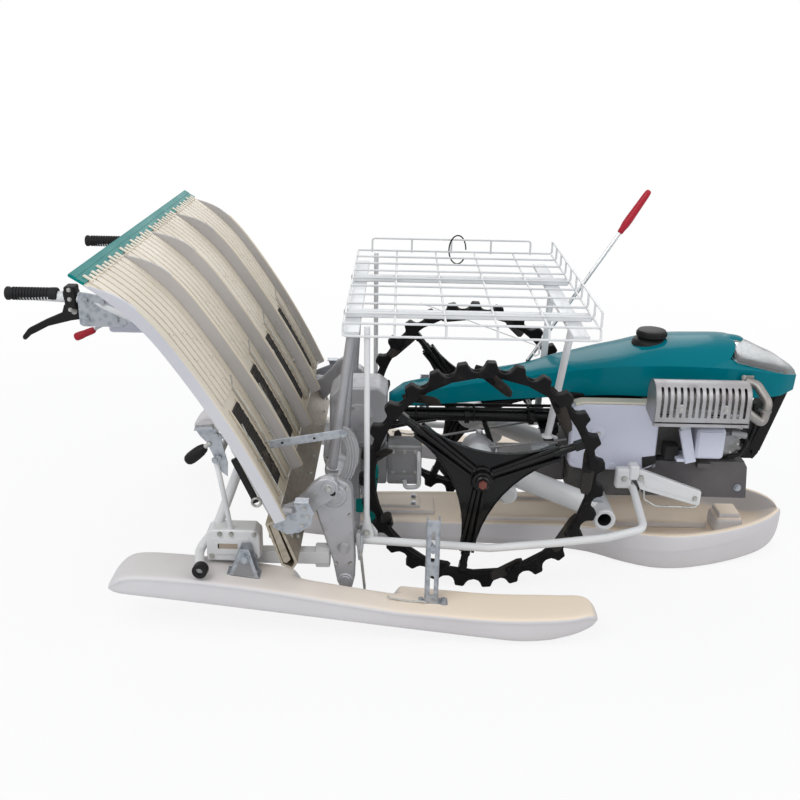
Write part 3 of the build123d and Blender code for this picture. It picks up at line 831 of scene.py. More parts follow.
    def bolts(
        self, places: Iterable[Flat], face: float, sign: int, size: float, finish: Finish = BOLT_STEEL,
        washer: bool = True, reach: float = 0.0,
    ) -> None:
        """Adds bolts whose heads point along Y.

        Args:
            places: The X and Z of each.
            face: The Y of their seats.
            sign: The way that their heads point along Y.
            size: The width of a head across the corners.
            finish: Their finish.
            washer: Whether they have washers.
            reach: The length of thread that stands out of a head.
        """
        for x, z in places:
            self.bolt((x, face, z), (0, sign, 0), size, finish, washer, reach)

    def loft(
        self, sections: Sequence[Sequence[Point]], bevel: float = 0.0, angle: float = 30.0,
        finish: Finish | None = None,
    ) -> None:
        """Adds a shape that runs through a row of closed sections.

        Args:
            sections: The corners of each section, the same number in each.
            bevel: The width of its bevels.
            angle: The angle in degrees from which an edge is bevelled.
            finish: Its finish.
        """
        part = bmesh.new()
        loops = []
        for section in sections:
            verts = [part.verts.new(p) for p in section]
            loops.append([part.edges.new((a, b)) for a, b in zip(verts, verts[1:] + verts[:1])])
        for first, second in zip(loops, loops[1:]):
            bmesh.ops.bridge_loops(part, edges=first + second)
        for end in (loops[0], loops[-1]):
            bmesh.ops.contextual_create(part, geom=end)
        self.take(part, finish, bevel, 2, angle)

    def join(self, other: "Shape") -> None:
        """Joins another shape to the piece.

        Args:
            other: The other shape, which is used up.
        """
        first = len(self.mesh.faces)
        self.absorb(other.mesh)
        places = [self.index(finish) for finish in other.finishes]
        self.mesh.faces.ensure_lookup_table()
        for face in self.mesh.faces[first:]:
            face.material_index = places[face.material_index]

    def minus(self, cutter: "Shape") -> None:
        """Cuts another shape out of the piece.

        Args:
            cutter: The other shape, which is used up.
        """
        holders = []
        for shape in (self, cutter):
            data = bpy.data.meshes.new("cut")
            shape.mesh.to_mesh(data)
            shape.mesh.free()
            for finish in self.finishes:
                data.materials.append(finish.material())
            holders.append(bpy.data.objects.new("cut", data))
            bpy.context.scene.collection.objects.link(holders[-1])
        cut = holders[0].modifiers.new("cut", "BOOLEAN")
        cut.operation, cut.solver, cut.object = "DIFFERENCE", "EXACT", holders[1]
        graph = bpy.context.evaluated_depsgraph_get()
        made = bpy.data.meshes.new_from_object(holders[0].evaluated_get(graph))
        self.mesh = bmesh.new()
        self.mesh.from_mesh(made)
        for holder in holders:
            data = holder.data
            bpy.data.objects.remove(holder)
            bpy.data.meshes.remove(data)
        bpy.data.meshes.remove(made)

    def done(self, slot: str, *replaced: str, body: str = "chassis", smooth: int = 0) -> None:
        """Makes the piece an object that rides on a body.

        Args:
            slot: The record's material slot for its finish, which is not used.
            replaced: The solids that it stands for.
            body: The body that it rides on.
            smooth: The levels of subdivision that round it.
        """
        bmesh.ops.scale(self.mesh, vec=(MM, MM, MM), verts=self.mesh.verts)
        data = bpy.data.meshes.new(self.name)
        self.mesh.to_mesh(data)
        self.mesh.free()
        for finish in self.finishes:
            data.materials.append(finish.material())
        data.shade_smooth()
        piece = bpy.data.objects.new(self.name, data)
        bpy.context.scene.collection.objects.link(piece)
        if smooth:
            rounding = piece.modifiers.new("Rounding", "SUBSURF")
            rounding.levels = rounding.render_levels = smooth
        else:
            data.set_sharp_from_angle(angle=math.radians(34))
            even = piece.modifiers.new("Even shading", "WEIGHTED_NORMAL")
            even.keep_sharp = True
        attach(piece, body)
        if replaced:
            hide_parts(*replaced)
        LOG.info("%s: %d faces", self.name, len(data.polygons))


# ---- wheels ----
class Side(Enum):
    """A side of the machine, by the sign of its Y."""

    RIGHT = -1
    LEFT = 1


@dataclass
class FieldWheel:
    """A lugged field wheel on its spider, in millimetres."""

    side: Side
    axle_x: float = 135.0
    axle_z: float = 329.44
    half_track: float = 300.0
    rim_radius: float = 296.0
    tube_radius: float = 11.0
    lugs: int = 27
    lug_foot: float = 68.8
    lug_width: float = 34.0
    flank: tuple[Flat, ...] = (
        (-7, -0.5), (8, -0.5), (9, -0.42), (13, -0.31), (21, -0.23), (29.4, -0.19), (33.4, -0.14),
        (33.4, 0.12), (29.4, 0.17), (21, 0.22), (13, 0.31), (9, 0.42), (8, 0.5), (-7, 0.5),
    )
    spoke_radius: float = 10.5
    gusset_reach: float = 215.0
    gusset_waist: float = 77.0
    gusset_curve: float = 356.0
    gusset_edge: float = 19.0

    @property
    def body(self) -> str:
        """Gives the name of the wheel's body."""
        return self.side.name.lower() + "_wheel"

    @property
    def phase(self) -> float:
        """Gives the angle in degrees of the first spoke."""
        return 275.0 - (19 if self.side is Side.RIGHT else 11) * 360 / self.lugs

    @property
    def middle(self) -> Vector:
        """Gives the middle of the wheel."""
        return Vector((self.axle_x, self.side.value * self.half_track, self.axle_z))

    def at(self, offset: float, radius: float, angle: float) -> Vector:
        """Gives a place in the wheel.

        Args:
            offset: How far outwards from the wheel's plane.
            radius: How far from the axle.
            angle: Degrees from forwards up.

        Returns:
            The place.
        """
        turn = math.radians(angle)
        out = (radius * math.cos(turn), self.side.value * offset, radius * math.sin(turn))
        return self.middle + Vector(out)

    def lug(self, rim: Shape, angle: float) -> None:
        """Adds one rubber lug, with a rounded back and hollow flanks.

        Args:
            rim: The rim in the making.
            angle: The lug's angle on the rim, in degrees.
        """
        sections = []
        for offset, draw in ((-0.5, 0.9), (-0.38, 1.0), (0.0, 1.0), (0.38, 1.0), (0.5, 0.9)):
            section = []
            for rise, share in self.flank:
                height = self.rim_radius + rise * (draw if rise > 0 else 1)
                foot = share * self.lug_foot * (draw if abs(share) < 0.4 else 1)
                lean = math.degrees(foot / self.rim_radius)
                section.append(self.at(offset * self.lug_width, height, angle + lean))
            sections.append(section)
        rim.loft(sections, 1.2, 50.0)

    def paddle(self, rim: Shape, angle: float) -> None:
        """Adds one slanting rubber paddle on its clip.

        Args:
            rim: The rim in the making.
            angle: The angle of its lug, in degrees.
        """
        start, end = self.at(60, 268, angle - 11), self.at(-38, 301, angle + 7)
        along = (end - start).normalized()
        up = (self.at(0, 1, angle) - self.middle).normalized()
        up = (up - along * up.dot(along)).normalized()
        through = along.cross(up)
        sections = []
        for share, height, thick in ((0.0, 9, 5), (0.10, 15, 8), (0.45, 17, 9), (0.85, 15, 9), (1.0, 9, 6)):
            middle = start.lerp(end, share) + up * (3 * math.sin(share * math.pi))
            sections.append([middle + up * height * c + through * (thick * 0.5) * s for c, s in circle(12)])
        rim.loft(sections, finish=PADDLE_RUBBER)
        rim.slab(start.lerp(end, 0.55), (22, 11.5, 34), along, 3.0)

    def rim(self) -> None:
        """Builds the rim tube with its rubber, lugs and paddles."""
        rim = Shape(f"{self.side.name.lower()}_rim", BLACK_RUBBER)
        rim.ring(self.middle, (0, 1, 0), self.rim_radius, self.tube_radius, 108, 14)
        rim.ring(self.middle, (0, 1, 0), self.rim_radius + 3.5, self.tube_radius - 1.5, 108, 12)
        first = 2 if self.side is Side.RIGHT else 1
        for k in range(self.lugs):
            angle = self.phase + 360 * k / self.lugs
            self.lug(rim, angle)
            if k % 3 == first:
                self.paddle(rim, angle)
        rim.done("black_rubber", self.body + "_rim", body=self.body)

    def bar(self, spider: Shape, start: Vector, end: Vector, size: Flat, extra: float, bevel: float) -> None:
        """Adds a flat bar that stands across the wheel.

        Args:
            spider: The spider in the making.
            start: The middle of its first end.
            end: The middle of its other end.
            size: Its height across the wheel and its thickness.
            extra: How much longer it is than from start to end.
            bevel: The width of its bevels.
        """
        way = end - start
        across = way.to_track_quat("Z", "Y").to_matrix() @ Vector((1, 0, 0))
        roll = 0.0 if abs(across.y) > 0.7 else 90.0
        spider.slab((start + end) / 2, (*size, way.length + extra), way, bevel, roll)

    def gusset(self, spider: Shape) -> None:
        """Adds the pressed plate with three arms and turned-up edges.

        Args:
            spider: The spider in the making.
        """
        curve, away = self.gusset_curve, self.gusset_waist + self.gusset_curve
        hollow = []
        for c, s in circle(13, 180 + 60 - 36.5, 73 / 12):
            x, y = away * 0.5 + curve * c, away * math.sin(math.radians(60)) + curve * s
            hollow.append((math.hypot(x, y), math.degrees(math.atan2(y, x))))
        hollow.sort(key=lambda place: place[1])
        edge = math.degrees(math.atan2(self.gusset_edge, self.gusset_reach))
        corner = math.hypot(self.gusset_reach, self.gusset_edge)
        outline = []
        for k in range(3):
            arm = self.phase + 120 * k
            outline += [(corner, arm - edge), (corner, arm + edge)]
            outline += [(radius, arm + turn) for radius, turn in hollow if edge < turn < 120 - edge]
        faces = [self.at(0, radius, turn) for radius, turn in outline]
        spider.plate([(p.x, p.z) for p in faces], self.middle.y - 2.5, self.middle.y + 2.5)
        inner = [self.at(0, radius - 1.6, turn) for radius, turn in outline]
        for a, b in zip(inner, inner[1:] + inner[:1]):
            self.bar(spider, a, b, (12, 3), 2.5, 1.0)

    def spider(self) -> None:
        """Builds the spokes, sleeves, gusset, hub and axle."""
        spider = Shape(f"{self.side.name.lower()}_spider", BLACK_STEEL)
        self.gusset(spider)
        for k in range(3):
            angle = self.phase + 120 * k
            spider.rod(self.at(0, 20, angle), self.at(0, 287, angle), self.spoke_radius, 24)
            spider.rod(self.at(0, 205, angle), self.at(0, 236, angle), self.spoke_radius + 2.5, 24)
            for lean in SIGNS:
                for offset in (11, -11):
                    near = self.at(offset, 34, angle + lean * 22)
                    far = self.at(offset, 222, angle + lean * 4.3)
                    self.bar(spider, near, far, (7, 9), 0.0, 2.0)
            spider.box_at(self.at(0, 276, angle), (30, 24, 22), self.at(0, 1, angle) - self.middle)
        out = self.side.value
        hub = (
            (0, -30), (24, -30), (27, -28), (29, -9), (34, -7), (34, 7), (29, 9), (27, 28), (24, 30), (0, 30),
        )
        spider.turn(hub, self.middle, (0, 1, 0))
        spider.turn(((0, 29), (19, 29), (20, 32), (20, 38), (17, 41), (0, 41)), self.middle, (0, out, 0))
        axle = ((self.axle_x, out * y, self.axle_z) for y in (170, 272))
        spider.rod(*axle, 12.4, finish=BOLT_STEEL)
        spider.bolt(self.middle + Vector((0, out * 41, 0)), (0, out, 0), 24, HUB_RED, False)
        spider.done("black_steel", self.body + "_spider", body=self.body)

    def build(self) -> None:
        """Builds the whole wheel."""
        self.rim()
        self.spider()


# ---- seedling tray ----
@dataclass
class SeedlingTray:
    """The sliding tray: four ribbed lanes between standing walls, in millimetres."""

    foot: Flat = (-378.5, 342.5)
    slope: float = 66.0
    bends: tuple[Flat, ...] = ((2360.0, 12.0), (560.0, 22.6))
    half_width: float = 610.0
    lane_pitch: float = 300.0
    wall_height: float = 26.0
    wall_depth: float = 5.0
    wall: float = 9.0
    divider_height: float = 38.0
    taper: float = 120.0
    belt_start: float = 40.0
    belt_end: float = 262.0
    back_ribs: tuple[float, ...] = (130, 235, 330, 500, 580, 655)

    @property
    def length(self) -> float:
        """Gives the length of the floor from its foot to its top."""
        return sum(radius * math.radians(turn) for radius, turn in self.bends)

    @property
    def middles(self) -> list[float]:
        """Gives the middle of each lane across the tray."""
        return [row * self.lane_pitch for row in ROWS]

    def at(self, along: float, height: float, y: float = 0.0) -> Vector:
        """Gives a place beside the tray's floor.

        Args:
            along: The distance from the foot along the floor.
            height: The height in front of the floor.
            y: The place across the tray.

        Returns:
            The place.
        """
        corner, heading, left = Vector(self.foot), math.radians(180 - self.slope), along
        for radius, turn in self.bends:
            length = radius * math.radians(turn)
            centre = corner + Vector((-math.sin(heading), math.cos(heading))) * radius
            if left <= length or radius == self.bends[-1][0]:
                break
            heading += math.radians(turn)
            corner = centre + Vector((math.sin(heading), -math.cos(heading))) * radius
            left -= length
        end = heading + min(left, length) / radius
        place = centre + Vector((math.sin(end), -math.cos(end))) * (radius + height)
        place += Vector((math.cos(end), math.sin(end))) * max(left - length, 0.0)
        return Vector((place.x, y, place.y))

    def strip(
        self, shape: Shape, heights: Flat, run: Flat, across: Flat, bevel: float = 0.8, step: float = 22.0,
        run_out: float = 0.0, finish: Finish | None = None,
    ) -> None:
        """Adds a strip that follows the floor.

        Args:
            shape: The piece that it belongs to.
            heights: Its lower and upper height over the floor.
            run: Where it starts and ends along the floor.
            across: Its two sides across the tray.
            bevel: The width of its bevels.
            step: The length between its sections.
            run_out: The length over which its height runs out at the top.
            finish: Its finish, or None for the piece's own.
        """
        count = max(2, round((run[1] - run[0]) / step))
        low, high = heights
        right, left = sorted(across)
        sections = []
        for k in range(count + 1):
            along = run[0] + (run[1] - run[0]) * k / count
            share = (run[1] - along) / run_out if run_out else 1.0
            top = high if share >= 1 else low + (high - low) * max(0.06, math.sin(share * math.pi / 2))
            corners = ((low, right), (low, left), (top, left), (top, right))
            sections.append([self.at(along, height, y) for height, y in corners])
        shape.loft(sections, bevel, 40.0, finish)

    def lanes(self) -> None:
        """Builds the floor with its ribs, grooves and drain holes."""
        tray = Shape("tray_floor", TRAY_CREAM)
        self.strip(tray, (-3, 0), (0, self.length), (-self.half_width + 1, self.half_width - 1))
        drains = ((505, -62), (480, 12), (452, 44), (420, -40), (392, 66), (362, -14), (330, 50))
        for middle in self.middles:
            for k in range(8):
                y = middle + (k - 3.5) * 34
                low = 10 if abs(k - 3.5) > 2 else self.belt_end + 30
                self.strip(tray, (0, 3.2), (low, self.length - 3), (y - 14, y + 14), 1.2)
                if k:
                    # Painted shade in the groove between two ribs.
                    groove = (y - 19.6, y - 14.4)
                    self.strip(tray, (0, 0.5), (low + 4, self.length - 6), groove, 0.2, finish=GROOVE_SHADE)
            # Drain holes drawn as dark discs: painted shade in the holes.
            for along, y in drains:
                for shift in (0, 9):
                    ends = (self.at(along - shift, high, middle + y + shift * 1.4) for high in (3.2, 3.7))
                    tray.rod(*ends, 1.9, 10, 0.0, GROOVE_SHADE)
        tray.done("tray_plastic", "seedling_tray", body="tray")

    def walls(self) -> None:
        """Builds the standing walls with their pale caps, and the ribs on the back."""
        walls = Shape("tray_walls", TRAY_GREY)
        for sign in SIGNS:
            across = (sign * self.half_width, sign * (self.half_width - self.wall))
            skin = TRAY_BLUE if sign < 0 else TRAY_GREY
            heights = (-self.wall_depth, self.wall_height - 3)
            self.strip(walls, heights, (0, self.length), across, 1.0, run_out=self.taper, finish=skin)
            heights = (self.wall_height - 5, self.wall_height)
            self.strip(walls, heights, (2, self.length - self.taper), across, 1.6, finish=TRAY_CREAM)
        for divider in (-1, 0, 1):
            y = divider * self.lane_pitch
            heights = (0, self.divider_height - 3)
            self.strip(walls, heights, (0, self.length - 4), (y - 4.5, y + 4.5), 1.0, run_out=self.taper)
            heights = (self.divider_height - 5, self.divider_height)
            along = (2, self.length - self.taper - 4)
            self.strip(walls, heights, along, (y - 5, y + 5), 1.6, finish=TRAY_CREAM)
        across = (-self.half_width + 14, self.half_width - 14)
        for along in self.back_ribs:
            self.strip(walls, (-9, -2), (along - 6, along + 6), across, 1.6, 6.0, finish=TRAY_CREAM)
        walls.done("tray_plastic", body="tray")

    def belts(self) -> None:
        """Builds the knobbly feed belts and the rails beside them."""
        belts = Shape("belts", BELT_RUBBER)
        rails = Shape("belt_rails", TRAY_CREAM)
        start, end = self.belt_start, self.belt_end
        for middle in self.middles:
            self.strip(belts, (0, 4.2), (start, end), (middle - 38, middle + 38))
            for k in range(20):
                along = start + 7 + k * (end - start - 14) / 19
                for j in range(-2, 3):
                    y = middle + j * 14.5 + (3 if k % 2 else -3)
                    place = self.at(along, 4.8, y)
                    belts.slab(place, (9, 2.4, 6.5), self.at(along + 1, 4.8, y) - place, 0.8)
            for sign in SIGNS:
                y = middle + sign * 43
                self.strip(rails, (0, 5), (start - 22, end + 10), (y - 3, y + 3), 1.4)
        belts.done("black_rubber_belt", "feed_belts", body="tray")
        rails.done("tray_plastic", body="tray")

    def wires(self) -> None:
        """Builds the wires that hold the seedling mats down."""
        wires = Shape("mat_wires", BOLT_STEEL)
        for middle in self.middles:
            for near, far, top in ((52, 122, 300), (-122, -56, 262)):
                for y, end in ((near, top), (far, top - 58)):
                    places = ((end + 26, 24 if near > 0 else 14), (end, 11), (170, 12), (16, 12))
                    wires.tube([self.at(along, height, middle + y) for along, height in places], 1.7, 10)
                    wires.rod(self.at(130, 0, middle + y), self.at(130, 13, middle + y), 3.0, 12, 0.4)
                wires.rod(self.at(17, 12, middle + near), self.at(17, 12, middle + far), 1.7, 10, 0.2)
        wires.done("bright_steel", body="tray")

    def top_edge(self) -> None:
        """Builds the coloured bar at the top and the clips that hold it."""
        start, half = self.length - 1, self.half_width
        heading = (self.at(start + 9, 0) - self.at(start + 8, 0)).normalized()
        up = (self.at(start + 8, 1) - self.at(start + 8, 0)).normalized()
        outline = (
            (0, -3), (3, -4), (37, -4), (40, -2), (40, 2.5), (37, 4), (24, 4), (22, 2.6), (6, 2.6), (3, 3.5),
            (0, 3),
        )
        bar = Shape("top_edge_bar", TEAL_TRIM)
        places = [self.at(start, 0, y) for y in (-half + 1, -half + 60, 0, half - 60, half - 1)]
        bar.loft([[base + heading * u + up * v for u, v in outline] for base in places], 0.5)
        bar.done("teal_plastic", "tray_top_bar", body="tray")
        clips = Shape("edge_clips", TRAY_CREAM)
        for middle in self.middles:
            for k in range(11):
                reach = (16, 9, 12, 7)[k % 4]
                base = self.at(start - 4 + reach / 2, 4.2, middle + (k - 5) * 25)
                clips.slab(base, (13, 3.2, reach + 8), heading, 0.8)
        clips.done("tray_plastic", body="tray")

    def build(self) -> None:
        """Builds the whole tray."""
        self.lanes()
        self.walls()
        self.belts()
        self.wires()
        self.top_edge()


# ---- floats ----
@dataclass
class CentreFloat:
    """The middle float: a narrow deck that opens into a rounded tub at the bow, in millimetres."""

    stations: tuple[tuple[float, ...], ...] = (
        (-480, 58, 84, 56, 36, 80), (-440, 72, 86, 54, 32, 82), (-250, 104, 92, 48, 22, 88),
        (40, 109, 94, 47, 19, 90), (330, 111, 96, 46, 16, 92), (420, 125, 100, 48, 12, 95),
        (480, 139, 104, 50, 10, 88), (530, 167, 110, 55, 6, 58), (570, 189, 114, 60, 2, 42),
        (650, 226, 124, 70, 0, 38), (705, 227, 125, 73, 0, 38), (760, 221, 125, 76, 0, 38),
        (870, 187, 126, 84, 4, 40), (960, 141, 127, 90, 10, 44), (1005, 109, 128, 93, 14, 54),
        (1035, 80, 128, 95, 22, 72), (1054, 56, 127, 97, 34, 94), (1066, 38, 121, 98, 50, 106),
        (1072, 27, 116, 98, 66, 110),
    )
    lip: float = 17.0

    def section(self, row: tuple[float, ...]) -> list[Point]:
        """Gives one section across the float.

        Args:
            row: Its place along X, half width, and the heights of rim, chine, bottom and floor.

        Returns:
            Its corners, round the hull and back over the floor.
        """
        x, half, rim, chine, low, floor = row
        inner = half - self.lip
        right = [
            (half - 5, rim), (half - 1, rim - 3), (half, rim - 9), (half, (rim + chine) / 2),
            (half * 0.99, chine + 5), (half * 0.985, chine), (half * 0.97, chine - 5), (half * 0.89, low + 6),
            (half * 0.85, low + 1), (half * 0.45, low),
        ]
        inside = [
            (inner, rim), (inner - 6, max(rim - 3, floor)), (inner - 12, (rim + floor * 2) / 3),
            (inner * 0.82, floor + 2), (inner * 0.5, floor),
        ]
        outer = right + [(0, low)] + [(-y, z) for y, z in reversed(right)]
        back = [(-y, z) for y, z in inside] + [(0, floor)] + list(reversed(inside))
        return [(x, y, z) for y, z in outer + back]

    def build(self) -> None:
        """Builds the float with its foot block and ridges."""
        hull = Shape("centre_float_hull", FLOAT_WHITE)
        hull.loft([self.section(row) for row in self.stations])
        hull.done("float_plastic", "centre_float", smooth=2)
        trim = Shape("centre_float_trim", FLOAT_WHITE)
        trim.box((872, -46, 34), (958, 46, 92), 16, 4)
        trim.box((882, -36, 86), (948, 36, 106), 7, 3)
        trim.box((560, -9, 38), (860, 9, 58), 7, 3)
        trim.box((-330, -50, 84), (24, 50, 104), 9, 3)
        trim.box((-300, -34, 98), (-20, 34, 112), 6, 3)
        for x in (-270, -40):
            for y in (-24, 24):
                trim.bolt((x, y, 112), (0, 0, 1), 15, ZINC)
        for y in (-70, 70):
            trim.box((100, y - 12, 86), (420, y + 12, 103), 7, 3)
        trim.done("float_plastic")


@dataclass
class SideFloat:
    """One long side float, in millimetres."""

    side: Side
    middle: float = 540.0
    keel: tuple[Flat, ...] = (
        (-808, 134), (-800, 128), (-752, 124), (213, 9), (290, 10), (365, 29), (408, 45), (420, 55),
        (425, 60),
    )
    deck: tuple[Flat, ...] = (
        (-808, 142), (-798, 160), (-770, 182), (-731, 190), (-572, 179), (-425, 160), (-79, 102), (171, 81),
        (340, 86), (392, 92), (408, 87), (418, 78), (425, 66),
    )
    plan: tuple[Flat, ...] = (
        (-808, 42), (-797, 55), (-770, 64), (-740, 65), (240, 65), (310, 62), (370, 57), (410, 43), (425, 26),
    )
    notch: tuple[Flat, ...] = ((-352, 300), (-345, 128), (-308, 86), (-110, 64), (-84, 84), (-76, 300))
    stations: tuple[float, ...] = (
        -807, -803, -790, -770, -735, -660, -572, -500, -425, -375, -350, -338, -310, -260, -180, -112, -96,
        -82, -70, -20, 60, 140, 213, 255, 300, 335, 370, 392, 408, 418, 424,
    )

    @staticmethod
    def read(line: tuple[Flat, ...], x: float) -> float:
        """Reads a line of stations and their values at one station.

        Args:
            line: Stations and their values.
            x: The station.

        Returns:
            The value there.
        """
        for (x0, v0), (x1, v1) in zip(line, line[1:]):
            if x <= x1:
                return v0 + (v1 - v0) * (x - x0) / (x1 - x0)
        return line[-1][1]

    def section(self, x: float) -> list[Point]:
        """Gives one section across the float.

        Args:
            x: Its station.

        Returns:
            Its corners.
        """
        low, high, half = (self.read(line, x) for line in (self.keel, self.deck, self.plan))
        notched = self.notch[0][0] < x < self.notch[-1][0]
        inner = min(high, self.read(self.notch, x)) if notched else high
        tall, sunk = high - low, inner - low
        lip = min(9.0, tall * 0.25)
        edge = half - min(3.5, half * 0.1)
        corners = [
            (0.0, high), (half - 16, high), (half - 5, high - 1.5), (half, high - 6), (half, high - lip - 3),
            (edge, high - lip - 6), (edge - 0.5, low + tall * 0.3), (edge - 5, low + tall * 0.08),
            (edge - 14, low), (14 - edge, low), (5 - edge, low + min(tall, sunk) * 0.1),
            (0.5 - edge, low + sunk * 0.35), (-edge, inner - lip - 6), (-half, inner - lip - 3),
            (-half, inner - 6), (5 - half, inner - 1.5), (14 - half, inner), (36 - half, inner),
            (40 - half, inner + (high - inner) * 0.5), (44 - half, high),
        ]
        return [(x, self.side.value * (self.middle + y), z) for y, z in corners]

    def build(self) -> None:
        """Builds the float."""
        name = self.side.name.lower()
        hull = Shape(f"{name}_float_hull", FLOAT_WHITE)
        hull.loft([self.section(x) for x in self.stations])
        hull.done("float_plastic", f"{name}_side_float", smooth=2)


@dataclass
class FloatMounts:
    """The slotted front brackets and the rear hinges of the side floats, in millimetres."""

    pipe_y: float = 424.0

    def front(self, shape: Shape, sign: int) -> None:
        """Adds the slotted bracket that sets a float's depth.

        Args:
            shape: The piece in the making.
            sign: The side.
        """
        inner, web_y, outer = sign * 524, sign * 551, sign * 556
        shape.box((-34, inner, 86), (42, outer, 94), 2)
        for x in (-26, 32):
            shape.bolt((x, sign * 540, 94), (0, 0, 1), 15, ZINC)
            shape.bolt((x, web_y, 94), (0, 0, 1), 13, ZINC)
        web = Shape("web", ZINC)
        web.box((-17, web_y, 90), (17, outer, 329), 2.0)
        slot = Shape("slot", ZINC)
        for low, high in ((214, 300), (118, 176)):
            slot.box((-5, sign * 540, low), (5, sign * 566, high), 4.4)
        web.minus(slot)
        shape.join(web)
        for x in (-17, 13):
            shape.box((x, inner, 94), (x + 4, outer, 328))
        shape.rod((0, sign * self.pipe_y, 196), (0, sign * 552, 248), 5.5)
        shape.bolt((0, outer, 250), (0, sign, 0), 17, ZINC)
        shape.rod((0, sign * 546, 250), (0, sign * 560, 250), 8)
        pin = (-60, outer, 102)
        for route in (
            (pin, (-16, sign * 558, 102), (-4, sign * 558, 84), (-4, sign * 546, 80)),
            (pin, (-104, sign * 557, 110), (-110, web_y, 112)),
        ):
            shape.tube(route, 2.6, 8, BOLT_STEEL)

    def rear(self, shape: Shape, sign: int) -> None:
        """Adds the triangular hinge bracket behind the tray.

        Args:
            shape: The piece in the making.
            sign: The side.
        """
        shape.plate(((-513, 168), (-431, 158), (-431, 163), (-513, 174)), sign * 522, sign * 562)
        for y in (522, 558):
            shape.plate(((-508, 168), (-433, 160), (-455, 243), (-478, 243)), sign * y, sign * (y + 4), 1.2)
            hollow = ((-497, 172), (-444, 168), (-459, 226), (-474, 226))
            shape.plate(hollow, sign * (y - 0.8), sign * (y + 4.8), 0.4, finish=ALLOY_DARK)
        shape.rod((-466, sign * 519, 218), (-466, sign * 572, 218), 7.5, finish=BOLT_STEEL)
        shape.bolt((-466, sign * 563, 218), (0, sign, 0), 20, ZINC)
        for x, z in ((-500, 171), (-444, 165)):
            shape.bolt((x, sign * 542, z), (0, 0, 1), 15, ZINC)

    def build(self) -> None:
        """Builds the brackets of both sides."""
        mounts = Shape("float_mounts", ZINC)
        for sign in SIGNS:
            self.front(mounts, sign)
            self.rear(mounts, sign)
        mounts.done("bright_steel", "side_float_brackets")


